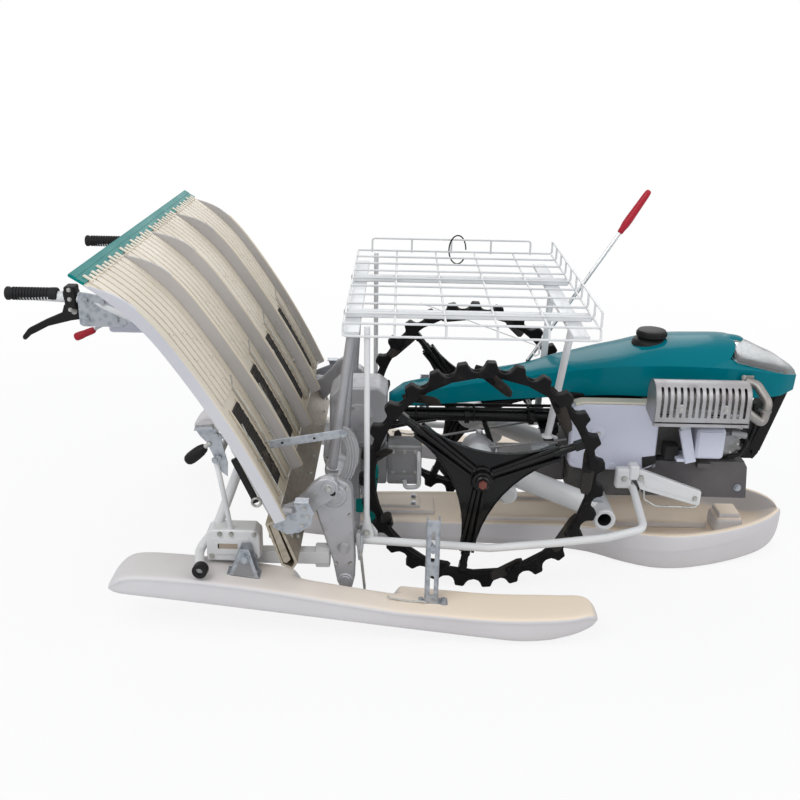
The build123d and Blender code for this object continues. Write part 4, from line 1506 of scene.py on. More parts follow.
# ---- planting gear ----
@dataclass
class PlantingGear:
    """The planting cases with their forks, the rail arms and the beam, in millimetres."""

    beam_x: float = -250.0
    beam_z: float = 350.0
    beam_radius: float = 29.5
    half_case: float = 25.0
    row_pitch: float = 300.0
    arm_y: float = 500.0
    rail_end: float = 571.0
    body: tuple[Flat, ...] = (
        (-297, 368), (-286, 386), (-262, 396), (-236, 396), (-216, 386), (-205, 368), (-203, 320),
        (-197, 165), (-199, 110), (-205, 84), (-218, 78), (-232, 80), (-243, 104), (-254, 165), (-282, 256),
        (-301, 320),
    )
    arm: tuple[Flat, ...] = (
        (-402, 292), (-398, 312), (-384, 324), (-352, 337), (-324, 366), (-300, 396), (-284, 408),
        (-266, 411), (-248, 406), (-238, 394), (-237, 370), (-248, 356), (-292, 324), (-330, 274),
        (-352, 252), (-374, 256),
    )
    shoe: tuple[Flat, ...] = (
        (-386, 331), (-334, 353), (-342, 378), (-304, 376), (-292, 352), (-300, 318), (-328, 298),
        (-360, 292), (-394, 312),
    )

    def case(self, shape: Shape, y: float) -> None:
        """Adds one planting case with its seam, its covers and its bolts.

        Args:
            shape: The piece in the making.
            y: The middle of the case.
        """
        shape.plate(self.body, y - self.half_case, y + self.half_case, 7, 3)
        shape.plate([(-250 + (x + 250) * 1.03, z) for x, z in self.body], y - 2.5, y + 2.5)
        screws = ((-284, 372), (-216, 374), (-292, 322), (-209, 300), (-208, 160), (-246, 160), (-226, 90))
        for sign in SIGNS:
            face = y + sign * self.half_case
            for x, z, radius in ((self.beam_x, 352, 31), (-222, 112, 19), (-226, 205, 15)):
                cover = ((0, 6), (0.62, 6), (0.7, 4), (0.9, 4), (1, 2))
                profile = [(share * radius, out) for share, out in cover] + [(radius + 2, -2)]
                shape.turn(profile, (x, face, z), (0, sign, 0), 32)
            shape.bolts(screws, face - sign, sign, 10)
            nut = [(self.beam_x, face + sign * out, 352) for out in (4, 9)]
            shape.rod(*nut, 7, 6, finish=BOLT_STEEL)

    def fork(self, shape: Shape, y: float) -> None:
        """Adds one planting fork.

        Args:
            shape: The piece in the making.
            y: The middle of the fork.
        """
        blade = ((-197, 236), (-178, 232), (-176, 196), (-181, 160), (-189, 160), (-193, 204))
        shape.box((-196, y - 13, 203), (-183, y + 13, 241), 4, finish=CAST_ALLOY)
        shape.plate(blade, y - 9, y + 9, 2, finish=ZINC)
        for prong in (-7, 7):
            shape.tube(((-187, y + prong, 215), (-180, y + prong, 150), (-172, y + prong * 0.8, 72)), 3.2, 40)
        shape.bolt((-183, y, 222), (1, 0, 0), 13)

    def arms(self) -> None:
        """Builds the cast arms that carry the rail at both ends."""
        arms = Shape("rail_arms", CAST_ALLOY)
        boss = ((0, 5), (8.5, 5), (10.2, 3), (17, 3), (19, -2))
        lug = ((-404, 318), (-372, 330), (-350, 322), (-344, 300), (-352, 290), (-402, 300))
        for sign in SIGNS:
            face = sign * self.arm_y
            arms.plate(self.arm, sign * 475, face, 5, 3)
            for x, z in ((-262, 386), (-378, 300)):
                arms.turn(boss, (x, face, z), (0, sign, 0), 28)
                arms.bolt((x, face + sign * 4, z), (0, sign, 0), 14)
            arms.bolts(((-322, 328), (-296, 372), (-338, 290)), face - sign, sign, 9)
            # A dark disc standing for the shaded bore: painted shade.
            arms.rod((-252, face - sign * 2, 372), (-252, face + sign * 1.5, 372), 8, finish=BORE_SHADE)
            arms.box((-410, face, 256), (-350, sign * 528, 330), 5, 3)
            arms.plate(lug, face, sign * 534, 3)
            arms.bolts(((-400, 270), (-360, 268), (-362, 316)), sign * 528, sign, 9)
        arms.done("cast_alloy")

    def rail(self) -> None:
        """Builds the bent channel that the tray slides on, and the shoes at its ends."""
        rail = Shape("tray_channel", BRONZE)
        for outline, half in (
            (((-412, 318), (-380, 332), (-378, 326), (-404, 314), (-370, 210), (-374, 204)), 569),
            (
                (
                    (-376, 205), (-346, 194), (-334, 214), (-380, 331), (-386, 329), (-342, 214), (-349, 201),
                    (-371, 210),
                ), 569,
            ),
            (((-402, 314), (-388, 322), (-352, 220), (-362, 210), (-370, 212)), 566),
        ):
            rail.plate(outline, -half, half, 0.8)
        for k in range(9):
            rail.bolt((-342, -500 + k * 125, 250), (0.93, 0, 0.36), 11)
        rail.done("bronze_steel", "tray_rail")
        shoes = Shape("rail_end_shoes", ZINC)
        for sign in SIGNS:
            end = sign * self.rail_end
            shoes.plate(self.shoe, end - sign * 5, end, 1.2)
            shoes.box((-340, end, 374), (-306, sign * 540, 378), 1)
            shoes.bolts(((-308, 342), (-322, 318), (-316, 364)), end, sign, 9)
        shoes.done("bright_steel")

    def build(self) -> None:
        """Builds the planting gear."""
        cases = Shape("case_castings", CAST_ALLOY)
        forks = Shape("planting_forks", BOLT_STEEL)
        for row in ROWS:
            self.case(cases, row * self.row_pitch)
            self.fork(forks, row * self.row_pitch)
        cases.done("cast_alloy", "planting_cases")
        forks.done("bright_steel", "planting_claws")
        beam = Shape("beam_tube", CAST_ALLOY)
        x, z = self.beam_x, self.beam_z
        beam.rod((x, -424, z), (x, 424, z), self.beam_radius, 40)
        for y in (-300, -92, 92, 300):
            beam.turn(((29, -14), (36, -12), (36, 12), (29, 14)), (x, y, z), (0, 1, 0), 36)
            beam.bolts([(x + 33 * c, z + 33 * s) for c, s in circle(6, 30)], y + 12, 1, 9, washer=False)
        beam.done("cast_alloy", "planting_beam")
        self.arms()
        self.rail()


# ---- rear frame, handles and levers ----
@dataclass
class RearFrame:
    """The plates, feet and braces behind the tray, in millimetres."""

    inner: float = 460.0
    outer: float = 518.0
    foot_y: float = 490.0

    def side_frame(self, shape: Shape, sign: int) -> None:
        """Adds the frame of one side.

        Args:
            shape: The piece in the making.
            sign: The side.
        """
        shape.box((-569, sign * 433, 151), (-262, sign * 467, 187), 4, 3)
        outline = ((-569, 186), (-569, 262), (-556, 273), (-448, 273), (-434, 258), (-434, 196), (-452, 184))
        shape.plate(outline, sign * self.inner, sign * self.outer, 5, 3)
        face = sign * self.outer
        edge = 3.7 if sign > 0 else 3.2
        for outline, low, high, bevel, finish in (
            (((-552, 205), (-552, 250), (-462, 250), (-462, 205)), -1, 2.5, 1.0, FRAME_WHITE),
            # A dark strip standing for the shaded slot: painted shade.
            (((-540, 222), (-540, 236), (-490, 236), (-490, 222)), 1.5, 3.2, 0.4, GROOVE_SHADE),
            (((-541, 221), (-541, 237), (-536, 237), (-536, 221)), 1.5, edge, 0.4, FRAME_WHITE),
        ):
            shape.plate(outline, face + sign * low, face + sign * high, bevel, finish=finish)
        shape.bolts(((-534, 262), (-505, 262), (-448, 262), (-448, 202), (-556, 200)), face, sign, 11)
        y = sign * self.foot_y
        shape.tube(((-550, y, 258), (-592, y, 205), (-573, sign * 596, 203)), 11.8, 26)
        shape.turn(
            ((12, -26), (18, -24), (19, -20), (19, -4), (18, -1), (9, -1), (9, -14), (0, -14)),
            (-572, sign * 607, 203), (-0.1, sign, 0), 28, BLACK_PLASTIC,
        )
        shape.rod((-486, sign * 421, 425), (-555, sign * 475, 240), 12.8, 24)
        shape.box((-300, sign * 436, 140), (-262, sign * 464, 200), 4)

    def build(self) -> None:
        """Builds both sides."""
        rear = Shape("rear_side_frames", FRAME_WHITE)
        for sign in SIGNS:
            self.side_frame(rear, sign)
        rear.done("white_paint", "rear_frame")


@dataclass
class Handles:
    """The handle tubes with their grips, levers and control box, in millimetres."""

    y: float = 330.0
    grip_z: float = 822.0
    grip_rear: float = -1073.0
    grip_front: float = -945.0
    radius: float = 14.0
    blade: tuple[Flat, ...] = (
        (62, -25), (75, -46), (70, -60), (30, -66), (-30, -82), (-60, -98), (-76, -106), (-91, -120),
        (-97, -117), (-98, -110), (-81, -89), (-56, -76), (-33, -64), (8, -46), (15, -25),
    )

    def tubes(self) -> None:
        """Builds the handle tubes, their plates and the tray's support bar."""
        tubes = Shape("handlebar_tubes", FRAME_WHITE)
        plates = Shape("handle_plates", ZINC)
        outline = (
            (-892, 750), (-892, 822), (-884, 832), (-806, 820), (-796, 812), (-772, 752), (-782, 744),
            (-884, 744),
        )
        for sign in SIGNS:
            y, z = sign * self.y, self.grip_z
            route = (
                (-1067, y, z), (-870, y, z - 9), (-624, sign * 345, 714), (-500, sign * 420, 450),
                (-412, sign * 431, 285),
            )
            tubes.tube(route, self.radius - 0.1, 60)
            plates.plate(outline, y + sign * 10, y + sign * 15, 1.4)
            corners = ((-872, 812), (-872, 764), (-800, 764), (-830, 808))
            plates.bolts(corners, y + sign * 15, sign, 14, ZINC)
        tubes.done("white_paint", "handle_tubes")
        plates.rod((-618, -449, 712), (-618, 449, 712), 9)
        for y in (-430, -150, 150, 430):
            roller = ((0, -12), (13, -12), (16, -9), (16, 9), (13, 12), (0, 12))
            plates.turn(roller, (-618, y, 712), (0, 1, 0), 28, BLACK_PLASTIC)
        plates.done("bright_steel", "handle_brackets")

    def grips(self) -> None:
        """Builds the ribbed grips."""
        grips = Shape("rubber_grips", GRIP_RUBBER)
        profile = [(0.0, 0.0), (14.0, 0.0), (17.0, 3.0), (17.0, 9.0)]
        for k in range(13):
            start = 14 + k * 7.6
            profile += [(14.6, start), (14.6, start + 2.6), (16.6, start + 3.4), (16.6, start + 6.8)]
        profile += [(17.0, 118.0), (17.0, 127.0), (15.0, 130.0), (0.0, 130.0)]
        for sign in SIGNS:
            grips.turn(profile, (self.grip_rear, sign * self.y, self.grip_z), (1, 0, -0.0001), 28)
        grips.done("grip_rubber", "handle_grips")

    def levers(self) -> None:
        """Builds the clutch levers and their clamps."""
        levers = Shape("hand_levers", BLACK_PLASTIC)
        front, z = self.grip_front, self.grip_z
        outline = [(front + along, z + rise) for along, rise in self.blade]
        for sign in SIGNS:
            y = sign * self.y
            levers.plate(outline, y - 6.5, y + 6.5, 3, 3)
            levers.box((front + 21, y - 20, z - 32), (front + 49, y + 20, z + 24), 5, 3)
            levers.box((front + 17, y - 14, z - 12), (front + 52, y + 14, z + 12), 3)
            levers.bolts([(front + 35, z + rise) for rise in (-34, 16, -8)], y + sign * 19.5, sign, 9)
            levers.bolt((front + 40, y + sign * 7, z - 42), (0, sign, 0), 12)
            levers.rod((front + 48, y - sign * 8, z - 18), (front + 82, y - sign * 8, z - 26), 3.4, 12)
        levers.done("black_plastic", "brake_levers")

    def controls(self) -> None:
        """Builds the cross bar and the control box with its red lever."""
        case = Shape("control_case", CASE_WHITE)
        case.rod((-800, -327, 790), (-800, 327, 790), 10.8, finish=FRAME_WHITE)
        case.box((-849, -254, 701), (-741, -171, 783), 9, 4)
        case.box((-852, -258, 758), (-738, -167, 763), 2)
        case.box((-840, -262, 706), (-760, -252, 752), 4)
        case.bolts(((-836, 771), (-836, 712), (-754, 771), (-754, 712)), -254, -1, 9)
        case.tube(((-846, -212, 716), (-872, -206, 712), (-906, -200, 692)), 4.6, 24, ZINC)
        handle = ((0, 0), (5, 0), (8.5, 5), (9.5, 14), (9.5, 30), (11, 44), (11, 56), (8.5, 60), (0, 61))
        case.turn(handle, (-900, -200, 694), (-57, 0, -24), 24, RED_GRIP)
        case.done("white_plastic", "control_bar")

    def build(self) -> None:
        """Builds the handles."""
        self.tubes()
        self.grips()
        self.levers()
        self.controls()


@dataclass
class DepthControls:
    """The plated lever plate with its knob, and the feed link with its sector, in millimetres."""

    plate_y: float = -560.0
    link_y: float = -456.0
    plate: tuple[Flat, ...] = (
        (-572, 562), (-550, 565), (-526, 566), (-512, 548), (-508, 520), (-498, 476), (-500, 440),
        (-514, 452), (-524, 474), (-546, 528), (-560, 542),
    )
    sector: tuple[Flat, ...] = (
        (-228, 533), (-213, 527), (-201, 512), (-191, 490), (-188, 468), (-190, 436), (-200, 410),
        (-215, 392), (-250, 380), (-236, 402), (-226, 424), (-221, 446), (-220, 472), (-226, 492),
        (-238, 503),
    )

    def lever(self) -> None:
        """Builds the lever plate, its knob and its rods."""
        lever = Shape("depth_plate", ZINC)
        y = self.plate_y
        lever.plate(self.plate, y, y + 4)
        lever.plate(((-572, 562), (-526, 566), (-528, 574), (-570, 570)), y - 14, y + 4)
        lever.bolt((-522, y, 548), (0, -1, 0), 13, ZINC)
        lever.bolt((-519, y, 490), (0, -1, 0), 16, ZINC)
        lever.rod((-519, -428, 490), (-519, y + 4, 490), 8)
        lever.box((-539, -428, 481), (-499, -393, 499), 3)
        lever.rod((-536, y - 2, 528), (-556, y - 2, 512), 5.5, finish=BOLT_STEEL)
        knob = ((0, 0), (9, 0), (11, 3), (14, 14), (15, 28), (15, 44), (13, 54), (9, 59), (0, 60))
        lever.turn(knob, (-550, y - 1, 516), (-46, 0, -38), 24, BLACK_PLASTIC)
        lever.tube(((-526, y - 3, 482), (-518, y - 2, 440), (-507, -504, 264)), 6.2, 40, FRAME_WHITE)
        lever.bolt((-526, y - 8, 486), (0, -1, 0), 14, ZINC)
        lever.box_at((-468, -500, 402), (128, 13, 15), (34, 0, -76), 2, BLACK_STEEL)
        lever.ring((-441, -506, 346), (0, 1, 0), 11, 3.4, 28, finish=BOLT_STEEL)
        lever.done("bright_steel", "depth_lever")

    def link(self) -> None:
        """Builds the link bar and the ribbed sector."""
        link = Shape("feed_sector", ZINC)
        y = self.link_y
        link.plate(self.sector, y, y + 6, 1.5, finish=ALLOY_DARK)
        for inset in (5, 12, 19):
            route = [(-222 + 26 * c + (5 - inset), y - 0.5, 452 + 66 * s) for c, s in circle(11, -62, 12)]
            link.tube(route, 1.6, 10, CAST_ALLOY)
        link.box_at((-317, y + 3, 497.5), (190, 4.6, 21), (-190, 0, -35), 1.2)
        link.bolt((-228, y, 514), (0, -1, 0), 16, ZINC, reach=4)
        # Dark discs standing for the shaded holes: painted shade.
        for x, z in ((-300, 500), (-380, 486)):
            link.rod((x, y + 0.4, z), (x, y + 5.6, z), 3.5, 12, 0, BORE_SHADE)
        link.done("bright_steel", "feed_link")

    def build(self) -> None:
        """Builds the controls at the tray's foot."""
        self.lever()
        self.link()


# ---- chassis ----
@dataclass
class Chassis:
    """The frame tube, gear cases, swing cases and side pipes, in millimetres."""

    axle: Flat = (135.0, 329.44)
    pivot: Flat = (486.0, 190.0)
    swing_y: float = 190.0
    tube_z: float = 394.0
    pipe_y: float = 424.0
    strip_y: float = -229.0

    def spine(self) -> None:
        """Builds the black frame tube with its brackets."""
        spine = Shape("frame_spine", BLACK_STEEL)
        spine.rod((-121, 0, self.tube_z), (400, 0, self.tube_z), 18, 32)
        for x in (-104, 110, 300, 388):
            spine.turn(((18, -8), (25, -7), (25, 7), (18, 8)), (x, 0, self.tube_z), (1, 0, 0.0001), 32)
        spine.box((320, -132, 370), (350, 132, 377), 2)
        spine.box_at((175, 0, 342), (78, 32, 15), (30, 0, -85), 4)
        spine.box_at((-50, 0, 367), (142, 15, 11), (142, 0, 35), 3)
        for sign in SIGNS:
            spine.rod((-110, sign * 8, 360), (20, sign * 16, 384), 5, 14)
            spine.bolt((335, sign * 112, 377), (0, 0, 1), 15)
        spine.rod((-90, 16, 418), (380, 16, 422), 4.5, 14, finish=BLACK_PLASTIC)
        spine.rod((-90, -15, 417), (380, -18, 424), 3.6, 14, finish=BLACK_PLASTIC)
        for x in (-40, 130, 290):
            spine.ring((x, 0, 402), (1, 0, 0.0001), 25, 2.2, 32, 8, BLACK_PLASTIC)
        spine.done("black_paint", "main_frame")

    def rear_case(self) -> None:
        """Builds the gear case of the planting part, with the coloured strips beside it."""
        case = Shape("planting_gear_case", ALLOY_DARK)
        outline = (
            (-290, 318), (-290, 470), (-262, 497), (-150, 497), (-124, 478), (-124, 330), (-140, 307),
            (-272, 307),
        )
        case.plate(outline, -68, 68, 8, 3, finish=CAST_ALLOY)
        case.box((-278, -69, 322), (-136, 69, 330), 3, finish=CAST_ALLOY)
        x, z = -206, 404
        for sign in SIGNS:
            cover = ((0, 3), (40, 3), (46, 0), (46, -6))
            case.turn(cover, (x, sign * 67, z), (0, sign, 0), finish=CAST_ALLOY)
            case.bolts([(x + 38 * c, z + 38 * s) for c, s in circle(6)], sign * 69.0, sign, 10, washer=False)
        case.box((-121, -111, 216), (-22, -31, 338), 7, 3)
        case.box((-116, -112, 226), (-28, -106, 246), 2)
        case.box((-110, -113.5, 252), (-34, -108, 326), 3)
        screws = ((-104, 258), (-40, 258), (-104, 320), (-40, 320), (-72, 258), (-72, 320))
        case.bolts(screws, -112, -1, 11)
        case.box((-199, -111, 216), (-122, -1, 309), 7, 3)
        case.bolts(((-190, 226), (-190, 298), (-150, 226), (-150, 298)), -111, -1, 11)
        hook = ((-32, -106, 318), (-30, -122, 300), (-28, -122, 214), (-68, -122, 212), (-70, -122, 234))
        case.tube(hook, 6.5, 16, FRAME_WHITE)
        y = self.strip_y
        for x, z in ((-166, 312), (-170, 268), (-206, 208), (-168, 174)):
            case.box((x, y - 12, z - 21), (x + 22, y, z + 21), 5, finish=TEAL_TRIM)
        case.box((-158, y - 7, 162), (-150, y + 1, 334), finish=TEAL_TRIM)
        case.box((-204, y - 7, 196), (-152, y, 206), finish=TEAL_TRIM)
        for z, radius in ((250, 6), (318, 5)):
            case.rod((-154, y - 2, z), (-150, -60, z + 12), radius, finish=BLACK_STEEL)
        case.done("cream_paint", "rear_gear_case")

    def transmission(self) -> None:
        """Builds the gearbox, the lift housing and its dome."""
        case = Shape("gearbox", DARK_CAST)
        outline = (
            (402, 206), (402, 470), (418, 484), (600, 484), (616, 470), (616, 206), (600, 192), (418, 192),
        )
        case.plate(outline, -110, 110, 8, 3)
        for z in (250, 300, 350, 400, 440):
            case.box((396, -96, z - 3), (404, 96, z + 3), 1)
        case.box((62, -59, 216), (400, 59, 284), 5, 3, OLIVE_GREY)
        case.box((66, -62, 276), (396, 62, 283), 2, finish=OLIVE_GREY)
        dome = (
            (0, 60), (8, 60), (10, 56), (10, 50), (16, 47), (34, 38), (46, 26), (51, 12), (52, 0), (56, -1),
            (56, -6), (0, -6),
        )
        case.turn(dome, (150, 0, 286), (0, 0, 1), 44, CAST_ALLOY)
        for c, s in circle(6, 15):
            case.bolt((150 + 60 * c, 60 * s * 0.9, 284), (0, 0, 1), 9, washer=False)
        case.box((300, -58, 286), (352, -20, 324), 4, finish=CLEAR_BOX)
        case.box((296, -60, 284), (356, -16, 290), 2, finish=CASE_WHITE)
        for y in (-52, -26):
            case.bolt((304, y, 324), (0, 0, 1), 6, washer=False)
        case.rod((80, -50, 300), (398, -72, 352), 3.4, 14, finish=ALLOY_DARK)
        case.rod((40, 40, 310), (398, 64, 370), 3.4, 14, finish=ALLOY_DARK)
        case.done("dark_cast", "transmission_case")

    def swing(self, shape: Shape, sign: int) -> None:
        """Adds the swing case that carries the wheel.

        Args:
            shape: The piece in the making.
            sign: The side.
        """
        y, end_y, out = sign * self.swing_y, sign * 200, (0, sign, 0)
        px, pz = self.pivot
        ax, az = self.axle
        shape.rod((px, y, pz), (ax, y, az), 31.5, 40)
        way = Vector((ax - px, 0, az - pz)).normalized()
        for along in (44, 52, 300):
            shape.turn(((31, -3), (34, -2), (34, 2), (31, 3)), Vector((px, y, pz)) + way * along, way, 36)
        bore = ((19, 2), (19, 60), (26, 62), (31, 59), (31, -88), (0, -88))
        shape.turn(bore, (px, end_y, pz), out)
        # Black lining inside the bore: painted shade.
        shape.turn(((19.4, 58), (18.6, 58), (18.6, 3), (0, 3)), (px, end_y, pz), out, 32, BORE_SHADE)
        boss = ((13.2, 56), (36, 56), (41, 52), (42, 40), (42, -30), (38, -38), (13.2, -38))
        shape.turn(boss, (ax, y, az), out)
        ring = [(ax + 32 * c, az + 32 * s) for c, s in circle(6, 20)]
        shape.bolts(ring, y + sign * 55, sign, 9, washer=False)
        shape.turn(((0, 55), (20, 55), (25, 50), (25, 0), (0, 0)), (215, y, 252), out, 32)
        shape.turn(((19, 50), (27.5, 50), (27.5, 40), (25, 38)), (215, y, 252), out, 32)
        shape.box((452, y - sign * 34, 196), (474, y, 262), 4)
        shape.box((440, y, 222), (486, y + sign * 24, 236), 2, finish=ZINC)

    def pipes(self) -> None:
        """Builds the side pipes and their end brackets."""
        pipes = Shape("side_guard_pipes", FRAME_WHITE)
        bracket = ((-196, 180), (-196, 226), (-184, 244), (-156, 244), (-140, 222), (-142, 196), (-160, 186))
        for sign in SIGNS:
            y = sign * self.pipe_y
            route = (
                (-196, y, 204), (155, y, 185), (336, y, 205), (460, y - sign * 6, 219),
                (568, sign * 372, 224), (570, sign * 205, 262), (560, sign * 113, 264),
            )
            pipes.tube(route, 10.8, 38)
            pipes.plate(bracket, y - sign * 15, y - sign * 11, 1.4)
            end, way = (-196, y, 204.2), (-0.96, sign * 0.28, 0)
            pipes.turn(((7.5, -1), (7.5, 18), (9, 21), (10.8, 20), (10.8, -2)), end, way, 28)
            # Black cup inside the open pipe end: painted shade.
            pipes.turn(((0, 2), (7.6, 2), (7.6, 17)), end, way, 24, BORE_SHADE)
            pipes.bolt((-170, y + sign * 8, 228), (0, sign, 0), 12)
            pipes.bolt((-188, y - sign * 11, 234), (0, sign, 0), 11)
        pipes.done("white_paint", "side_pipes")

    def stays(self) -> None:
        """Builds the stay plates in front of the pivots and the bent rods under them."""
        stays = Shape("stay_plates", FRAME_WHITE)
        blade = ((574, 322), (766, 252), (765, 210), (752, 210), (592, 256), (576, 292))
        for sign in SIGNS:
            inner, face = sign * 181, sign * 199
            stays.plate(blade, inner, face, 3, 3)
            stays.plate(((596, 300), (742, 247), (742, 226), (602, 268)), face, sign * 201, 0.8)
            stays.rod((590, sign * 112, 285), (590, inner, 285), 10.5, finish=ZINC)
            stays.rod((735, sign * 130, 240), (735, inner, 240), 8.5, finish=ZINC)
            stays.bolt((590, face, 292), (0, sign, 0), 17)
            stays.bolt((748, face, 232), (0, sign, 0), 13)
            spots = ((604, 192, 258), (606, 196, 226), (640, 197, 205), (752, 197, 203), (764, 192, 214))
            stays.tube([(x, sign * y, z) for x, y, z in spots], 3.2, 12, BOLT_STEEL)
            stays.box((556, sign * 170, 286), (584, sign * 206, 330), 6, 3)
            stays.box((520, sign * 176, 258), (566, sign * 202, 320), 8, 3)
            stays.bolt((544, sign * 201, 290), (0, sign, 0), 15)
        stays.done("white_paint", "side_stays")

    def build(self) -> None:
        """Builds the chassis."""
        self.spine()
        self.rear_case()
        self.transmission()
        swing = Shape("swing_arm_cases", FRAME_WHITE)
        for sign in SIGNS:
            self.swing(swing, sign)
        swing.done("white_paint", "swing_cases")
        self.pipes()
        self.stays()


# ---- engine ----
@dataclass
class Engine:
    """The engine with its covers, bracket, exhaust and guards, in millimetres."""

    slots: int = 14
    slot_pitch: float = 17.0
    first_slot: float = 607.5
    guard_low: tuple[float, float, float] = (590.0, -265.0, 474.0)
    guard_high: tuple[float, float, float] = (845.0, -170.0, 590.0)
    silencer_y: float = -217.5

    def block(self) -> None:
        """Builds the finned engine block and the small parts round it."""
        block = Shape("engine_body", DARK_CAST)
        block.box((644, -108, 320), (886, 108, 430), 8, 3)
        for z in range(434, 497, 9):
            block.box((648, -110, z), (884, 110, z + 4), 1, finish=ALLOY_DARK)
        block.box((662, -98, 426), (870, 98, 494), 4)
        x, z = 846, 372
        block.turn(((0, 22), (26, 22), (34, 16), (36, 0)), (x, -108, z), (0, -1, 0), 32, ALLOY_DARK)
        block.bolts([(x + 27 * c, z + 27 * s) for c, s in circle(5)], -127, -1, 8, washer=False)
        block.box((826, -132, 420), (876, -106, 462), 6, 3, CAST_ALLOY)
        block.rod((836, -134, 440), (874, -150, 436), 12, finish=CAST_ALLOY)
        block.rod((846, -140, 410), (888, -146, 404), 9, finish=ALLOY_DARK)
        hose = ((888, -120, 410), (902, -122, 372), (884, -124, 336), (850, -122, 330))
        block.tube(hose, 5.5, 20, BLACK_PLASTIC)
        block.tube(((884, -116, 470), (900, -118, 448), (896, -116, 420)), 3.5, 12, BLACK_PLASTIC)
        screws = ((820, 440), (884, 352), (822, 338), (880, 386), (832, 462))
        block.bolts(screws, -110, -1, 11, reach=3)
        block.done("dark_cast", "engine_block")

    def covers(self) -> None:
        """Builds the white side case and the starter box."""
        covers = Shape("white_covers", CASE_WHITE)
        case = (
            (394, 306), (404, 298), (440, 291), (600, 293), (626, 300), (639, 314), (639, 478), (630, 488),
            (615, 492), (424, 492), (404, 487), (393, 474),
        )
        cap = (
            (400, 484), (424, 491), (615, 491), (634, 485), (634, 492), (618, 498), (422, 498), (400, 492),
        )
        face, out = -149, (0, -1, 0)
        covers.plate(case, face, -112, 8, 4)
        covers.plate(cap, face - 1, -112, 3, 3, finish=CREAM_PAINT)
        covers.turn(((0, 5), (12, 5), (20, 3.5), (23, 0), (23, -4)), (470, face, 405), out, 36)
        covers.bolt((470, face - 4.4, 405), out, 11)
        for x, z in ((412, 322), (412, 468), (622, 470), (520, 306)):
            covers.turn(((0, 2), (7, 2), (9, 0), (9, -3)), (x, face, z), out, 24)
        # A dark patch at the case's lower front corner: painted shade.
        covers.plate(((604, 300), (640, 316), (640, 340), (600, 334)), -151.5, -148, 0.8, finish=BORE_SHADE)
        covers.box((736, -189, 347), (817, -113, 438), 11, 4)
        covers.box((742, -190, 356), (811, -186, 430), 2.5)
        covers.box((686, -188, 434), (716, -172, 474), 3, finish=ZINC)
        covers.bolt((701, -188, 452), out, 11)
        covers.box_at((716, -181, 384), (104, 4, 30), (26, 0, -96), 1.6)
        covers.box_at((703, -176, 380), (104, 14, 4), (26, 0, -96), 1.6)
        covers.box((690, -180, 334), (744, -112, 344), 3)
        # A dark block filling the gap between the covers and the engine: painted shade.
        covers.box((662, -158, 330), (700, -113, 372), 3, finish=BORE_SHADE)
        covers.done("white_paint", "side_covers")

    def bracket(self) -> None:
        """Builds the folded bracket under the engine."""
        bracket = Shape("engine_cradle", OLIVE_GREY)
        side = ((620, 207), (919, 202), (910, 300), (900, 316), (622, 316))
        for sign in SIGNS:
            face = sign * 129.5
            bracket.plate(side, sign * 124, face, 1.6)
            bracket.bolts(((890, 236),), face, sign, 17, ZINC)
            bracket.bolts(((700, 226), (640, 300)), face, sign, 11, ZINC)
        for outline in (
            ((620, 208), (918, 203), (918, 209), (620, 214)),
            ((904, 300), (918, 206), (912, 206), (898, 300)),
            ((622, 310), (902, 310), (902, 316), (622, 316)),
        ):
            bracket.plate(outline, -126, 126, 1.5)
        bracket.box((624, -120, 214), (632, 120, 312))
        bracket.box((760, -150, 302), (800, -124, 318), 3, finish=DARK_CAST)
        bracket.done("grey_paint", "engine_bracket")

    def guard(self) -> None:
        """Builds the slotted guard over the silencer."""
        x0, y0, z0 = self.guard_low
        x1, y1, z1 = self.guard_high
        guard = Shape("heat_guard", STAINLESS)
        middle, high, radius, thick = self.silencer_y, 542.5, 47.5, 2.5
        arc = circle(13, 180, -15)
        outer = [(middle + radius * c, high + radius * s) for c, s in arc]
        inner = [(middle + (radius - thick) * c, high + (radius - thick) * s) for c, s in arc]
        skin = [(y0, z0)] + outer + list(reversed(inner)) + [(y0 + thick, z0)]
        guard.loft([[(x, y, z) for y, z in skin] for x in (x0, x1)])
        slots = Shape("slots", STAINLESS)
        for k in range(self.slots):
            x = self.first_slot + k * self.slot_pitch
            slots.box((x - 3.7, y0 - 12, z0 + 26), (x + 3.7, middle - 10, z1 - 10), 3.4, 3)
        guard.minus(slots)
        face = [(y0, z0)] + outer + [(y1, z0 + 14)]
        for x in (x0, x1 - thick):
            guard.plate(face, x, x + thick, 0.8, along_x=True)
        guard.box((x0, y0, z0 + 7), (x1, y0 + 5, z0 + 15), 2.2, 3)
        guard.box((x0, y0 + 0.2, z0), (x1, y0 + 12, z0 + 3), 1.0)
        for k in (3, 10):
            x = self.first_slot + k * self.slot_pitch
            guard.turn(((0, 1.5), (11, 1.5), (13, 0), (13, -1.5)), (x, y0 + 1.4, z0 + 50), (0, -1, 0), 28)
            guard.bolt((x, y0 + 3.4, z0 + 50), (0, -1, 0), 12, washer=False)
        rivets = [(x, z) for x in (x0 + 8, x1 - 8) for z in (z0 + 20, z1 - 52)]
        guard.bolts(rivets, y0 + 2.6, -1, 5, washer=False)
        guard.done("bright_steel", "muffler_guard")

